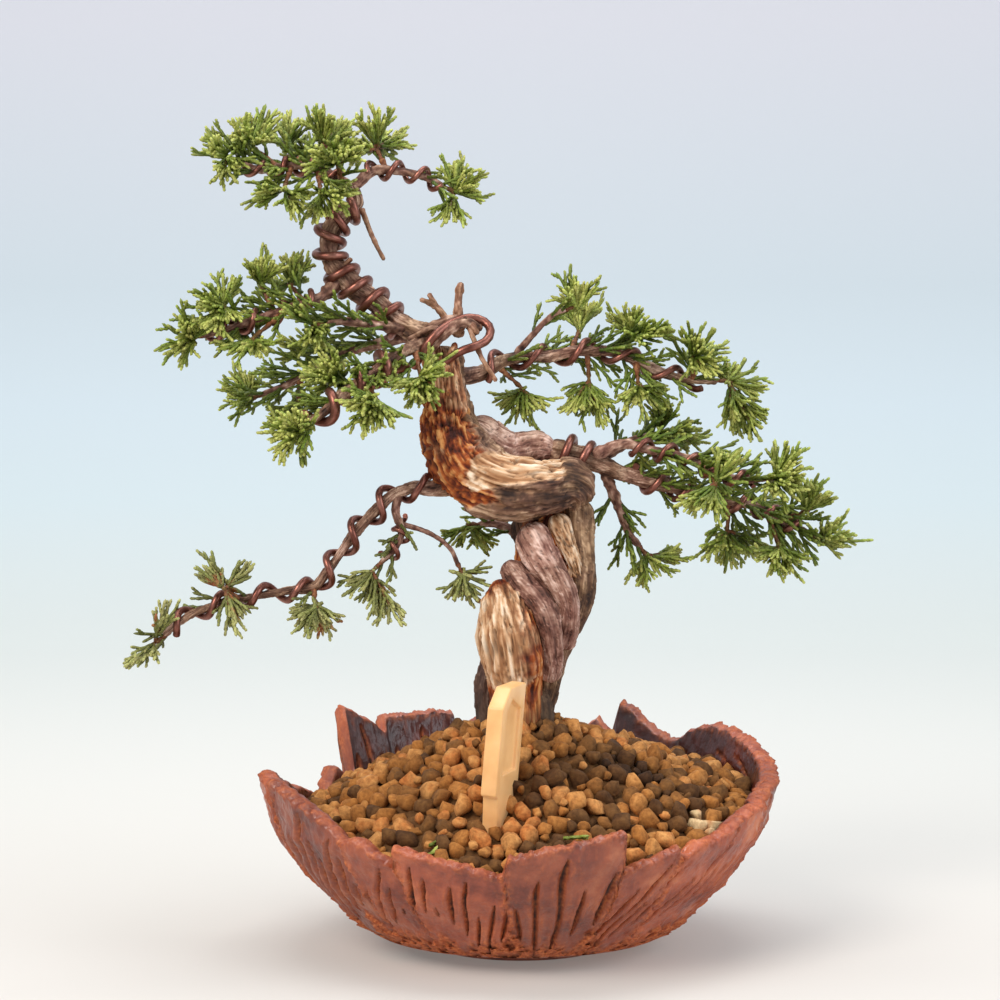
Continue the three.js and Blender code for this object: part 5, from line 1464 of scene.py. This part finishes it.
class Grower:
    """Collects cords: base, direction, length, radius, bend, how far out and how woody they are."""

    def __init__(self, seed, lush):
        self.dice = np.random.default_rng(seed)
        self.lush = lush  # 1 in a dense pad, less on a poor branch
        self.rows = []

    def cord(self, base, way, length, radius, outer, woody=0.0, bend=0 * SKY):
        """One cord, which bends more and more towards its tip."""
        self.rows.append((base, way, length, radius, bend * length, outer, woody))

    def feather(self, base, way, side, length, ahead, outer):
        """A cord with shorter shoots to both sides, which bend forwards."""
        dice = self.dice
        bend = 0.22 * ahead + 0.06 * dice.normal(size=3) + 0.05 * SKY
        self.cord(base, way, length, CORD_RADIUS, outer, 0.0, bend)
        count = max(1, round(length / SHOOT_EVERY) - 1)
        for number in range(1, count):
            share = (number + 0.4 * dice.random()) / count
            start = base + way * length * share + bend * length * share * share
            roll = 0.5 * dice.normal()
            hand = side if number % 2 else -side
            out = hand * math.cos(roll) + np.cross(way, hand) * math.sin(roll)
            turn = leaning(unit(way + 2 * bend * share), out, SHOOT_LEAN + 7 * dice.normal())
            small = SHOOT_LENGTH * (0.7 + 0.6 * dice.random()) * (1 - 0.5 * share)
            small = small * min(1, length / FULL_FEATHER)
            self.cord(start, turn, small, 0.92 * CORD_RADIUS, min(1, outer + 0.2), 0.0, 0.18 * way)

    def side_feather(self, base, way, out, degrees, length, outer):
        """A feather that leans out from a stem."""
        turn = leaning(way, out, degrees)
        self.feather(base, turn, unit(np.cross(turn, np.cross(way, out))), length, way, outer)

    def stem(self, start, end, reach=1.0, bare=0.0):
        """A stem from start to end with feathers along it. The first share may be bare."""
        dice = self.dice
        way = unit(end - start)
        length = np.linalg.norm(end - start) - TIP_CORD * reach - OVERHANG
        self.cord(start, way, length, CORD_RADIUS, 0.0, 0.85)
        side = beside(way)
        roll = dice.uniform(-0.8, 0.8)
        count = max(3, round(length / FEATHER_EVERY * self.lush))
        for number in range(1, count + 1):
            share = bare + (1 - bare) * (number - 0.6 + 0.3 * dice.random()) / count
            for hand in (1, -1):
                out = hand * turned(way, side, roll + 0.6 * dice.normal())
                degrees = FEATHER_LEAN + 8 * dice.normal()
                long = FEATHER_LENGTH * reach * (0.65 + 0.5 * dice.random()) * (1.05 - 0.55 * share)
                self.side_feather(start + way * length * share, way, out, degrees, long, 0.25 + 0.5 * share)
        self.feather(start + way * (length - 2), way, side, TIP_CORD * reach + 2, way, 0.8)

    def bush(self, places, ways, droop=0.6, reach=1.0):
        """Short feathers along a twig or a branch, to its sides, above it and as low as they droop."""
        dice = self.dice
        for place, way in zip(places, ways):
            if dice.random() > self.lush:
                continue
            out = turned(way, beside(way), dice.uniform(-droop, math.pi + droop))
            degrees = BUSH_LEAN + 8 * dice.normal()
            self.side_feather(place, way, out, degrees, reach * FEATHER_LENGTH * dice.uniform(0.7, 1.1), 0.25)

    def build(self, name):
        """All cords as one mesh."""
        base, way, length, radius, sag, outer, woody = (np.array(column) for column in zip(*self.rows))
        first = unit(np.cross(way, np.where(np.abs(way[:, 2:]) < 0.9, SKY, DEPTH)))
        second = np.cross(way, first)
        spin = self.dice.random(len(base))[:, None] * 2 * math.pi
        first = first * np.cos(spin) + second * np.sin(spin)
        second = np.cross(way, first)
        x, y, z = (cord_corners[:, axis][None, :, None] for axis in range(3))
        places = base[:, None] + way[:, None] * length[:, None, None] * z + sag[:, None] * z * z
        places = places + radius[:, None, None] * (first[:, None] * x + second[:, None] * y)
        marks = {
            "outer": np.clip(outer[:, None] + 0.3 * z[:, :, 0], 0, 1).ravel(),
            "tint": np.repeat(self.dice.random(len(base)), len(cord_corners)),
            "woody": (woody[:, None] * (1.1 - 0.6 * z[:, :, 0])).ravel(),
        }
        return copies(name, cord_corners, cord_faces, places, marks)


# %% [markdown]
# ## Green of the sprays
# The scales are leathery with a thin wax, so they have a soft gloss. New growth at the tips is
# yellow-green and old growth inside is dark; the same change also paints shade deep in the sprays
# and light at the tips. The mesh says how far out each cord is, and how woody.
# A little light comes through the scales, which subsurface scattering gives. The long low branch is
# weaker: it has gone olive, with brown patches.

# %% Green scales
GREEN_STOPS = (0.05, 0.4, 0.72, 1.0)


def leaf_material(name, greens, brown):
    """Scale leaves: greens from the inside out, and a share of browned patches."""
    material, tree, shader = new_material(name, 0.5, Subsurface_Weight=0.1, Specular_IOR_Level=0.4)
    where = add(tree, "ShaderNodeTexCoord").outputs["Object"]
    out, tint, woody = mark(tree, "outer"), mark(tree, "tint"), mark(tree, "woody")
    patch = clouds(tree, where, 70.0, 3.0)
    place = reckon(tree, "ADD", out, reckon(tree, "SUBTRACT", patch, 0.5), clamp=True)
    # dark inside to pale at the tips: the age of the growth, with painted shade inside the sprays and painted
    # light at the tips
    green = ramp(tree, place, list(zip(GREEN_STOPS, greens)))
    # no two cords have quite the same green
    light, hue = spread(tree, tint, 0.72, 1.18), spread(tree, tint, 0.485, 0.505)
    inputs = {"Color": green, "Value": light, "Hue": hue}
    varied = add(tree, "ShaderNodeHueSaturation", inputs).outputs[0]
    # some cords are brown in patches, and stems are woody
    old = spread(tree, patch, 0.0, 1.0, 0.74 - brown, 0.8 - brown)
    gone = reckon(tree, "MULTIPLY", old, reckon(tree, "GREATER_THAN", tint, 0.45))
    scales = add(tree, "ShaderNodeTexVoronoi", {"Vector": where, "Scale": 1100.0}).outputs["Distance"]
    dress(
        shader,
        Base_Color=blend(tree, woody, blend(tree, gone, varied, "#96582F"), "#7E4A2C"),
        Subsurface_Radius=(0.0008, 0.001, 0.0003),
        Normal=bumps(tree, scales, 0.8, 0.0004),
    )
    return material


green_scales = leaf_material("green_juniper_scales", ("#2C3A12", "#586C1E", "#84933A", "#B8BE64"), 0.03)
olive_scales = leaf_material("olive_juniper_scales", ("#403E20", "#666C34", "#888C4C", "#B0B06E"), 0.14)
print("made", green_scales.name, olive_scales.name)

# %% Young bark of the twigs
young, tree, shader = new_material("orange_brown_young_juniper_bark", 0.75)
patch = clouds(tree, add(tree, "ShaderNodeTexCoord").outputs["Object"], 700.0, 4.0)
dress(
    shader,
    Base_Color=ramp(tree, patch, [(0.35, "#5A3220"), (0.5, "#84502F"), (0.7, "#A8744A")]),
    Normal=bumps(tree, patch, 0.6, 0.0003),
)
print("made", young.name)

# %% Stems that grow between those of the frame
BETWEEN_TURN = 26  # degrees between a stem of the frame and the stems that grow beside it
BETWEEN_TILT = 22


def stems_between(dice, fork, tips, lush):
    """The tips of the stems that grow beside the frame's own ones."""
    more = []
    for tip in tips:
        for hand in (1, -1):
            if dice.random() > lush:
                continue
            turn = math.radians(hand * BETWEEN_TURN * dice.uniform(0.6, 1.2))
            tilt = math.radians(dice.uniform(-BETWEEN_TILT, BETWEEN_TILT))
            arm = Matrix.Rotation(turn, 3, "Z") @ Vector(tip - fork)
            arm = np.array(Matrix.Rotation(tilt, 3, "Y") @ arm)
            more.append(fork + arm * dice.uniform(0.6, 0.9))
    return more


def finish_spray(plant, name, weak, *nodes):
    """Builds a plant, olive where it is weak and green elsewhere, and counts its triangles."""
    spray = plant.build(name)
    scales, slot = (olive_scales, "foliage_olive") if weak else (green_scales, "foliage_green")
    settle(spray, scales, slot, *nodes)
    return count_triangles(spray)


# %% All sprays grow
SPARSE = {
    "far": 0.6, "behind": 0.6, "right_5": 0.7, "right_6": 0.8, "right_7": 0.6, "right_8": 0.75, "low_8": 0.7,
}
BUSH_EVERY = 1.4  # mm between the short feathers along a twig
SUNK = 1.8  # mm that a stem starts inside its twig

total = 0
for number, row in enumerate(SPRAYS):
    name = row[0]
    root, knot, tips, twig = spray_points(row)
    lush = SPARSE.get(name, SPARSE.get(name.split("_")[0], 1.0))
    plant = Grower(1000 + number, lush)
    neck = unit(knot - root)
    plant.cord(root - SUNK * neck, neck, np.linalg.norm(knot - root) + SUNK + 1.5, 0.9, 0.0, 1.0)
    for tip in tips:
        plant.stem(knot, tip, bare=0.1)
    for tip in stems_between(plant.dice, knot, tips, lush - 0.15):
        plant.stem(knot, tip, reach=0.9, bare=0.15)
    if twig:
        start, end = twig
        line = [[*start, 1.1], [*((start + end) / 2), 1.0], [*end, 0.9]]
        wooden("twig_" + name, line, TWIG_STEP, twig_surface(0.3), 600 + number, young)
        shares = np.arange(0.4, 1, BUSH_EVERY / np.linalg.norm(end - start))[:, None]
        plant.bush(start + (end - start) * shares, [unit(end - start)] * len(shares))
    total += finish_spray(plant, "feathers_" + name, name.startswith("far"), "spray_" + name)
print("spray triangles:", total)

# %% [markdown]
# ## Short feathers and fallen shoots
# Between the sprays, short feathers grow straight out of a branch, and the wood would look bare
# without them. They are grown as on the twigs, at even steps along each branch. A few shoots that
# were cut off lie on the granules.

# %% Short feathers along the branches
LEAFY = [
    # branch, share from which it bears short feathers, how densely, how far they droop, their reach
    ["top_left", 0.2, 0.9, 0.8, 1.0],
    ["top_right", 0.6, 0.4, 1.0, 0.9],
    ["left_upper", 0.35, 0.9, 0.8, 1.0],
    ["left_back", 0.15, 0.9, 0.8, 1.2],
    ["left_front", 0.25, 0.8, 0.6, 1.15],
    ["left_top", 0.1, 0.9, 0.8, 1.2],
    ["right_upper", 0.2, 0.5, 1.4, 1.1],
    ["right_upper_twig", 0.3, 0.7, 0.6, 0.8],
    ["right_lower", 0.22, 0.8, 1.4, 1.3],
    ["right_lower_fork", 0.2, 0.9, 1.2, 1.1],
    ["right_lower_drop", 0.3, 0.7, 1.4, 1.0],
    ["right_lower_rise", 0.3, 0.9, 0.8, 1.1],
    ["left_lower", 0.7, 0.35, 0.6, 0.9],
    ["left_lower_drop", 0.4, 0.5, 1.4, 0.9],
    ["back_low", 0.3, 0.7, 1.4, 1.0],
]
total = 0
for number, (branch, first, lush, droop, reach) in enumerate(LEAFY):
    limb = limbs[branch]
    place, way, *_ = limb.at(np.arange(first, 1, BUSH_EVERY / limb.length))
    plant = Grower(1300 + number, lush)
    plant.bush(place, way, droop, reach)
    total += finish_spray(plant, "feathers_on_" + branch, branch.startswith("left_lower"))
print("short feather triangles:", total)

# %% Shoots that have fallen on the granules
FALLEN = [[-29, -62, 60], [-34, -66, 20], [13, -66, -5]]  # place, and turn in degrees
FALLEN_LENGTH = 7.0
FALLEN_LIFT = 2.6  # mm above the mean height of the soil
plant = Grower(1400, 1.0)
for x, y, turn in FALLEN:
    way = np.array([math.cos(math.radians(turn)), math.sin(math.radians(turn)), 0.1])
    base = np.array([x, y, float(soil_height(x, y)) + FALLEN_LIFT])
    plant.feather(base, way, unit(np.cross(SKY, way)), FALLEN_LENGTH, way, 0.5)
print("fallen shoot triangles:", finish_spray(plant, "fallen_shoots", False))
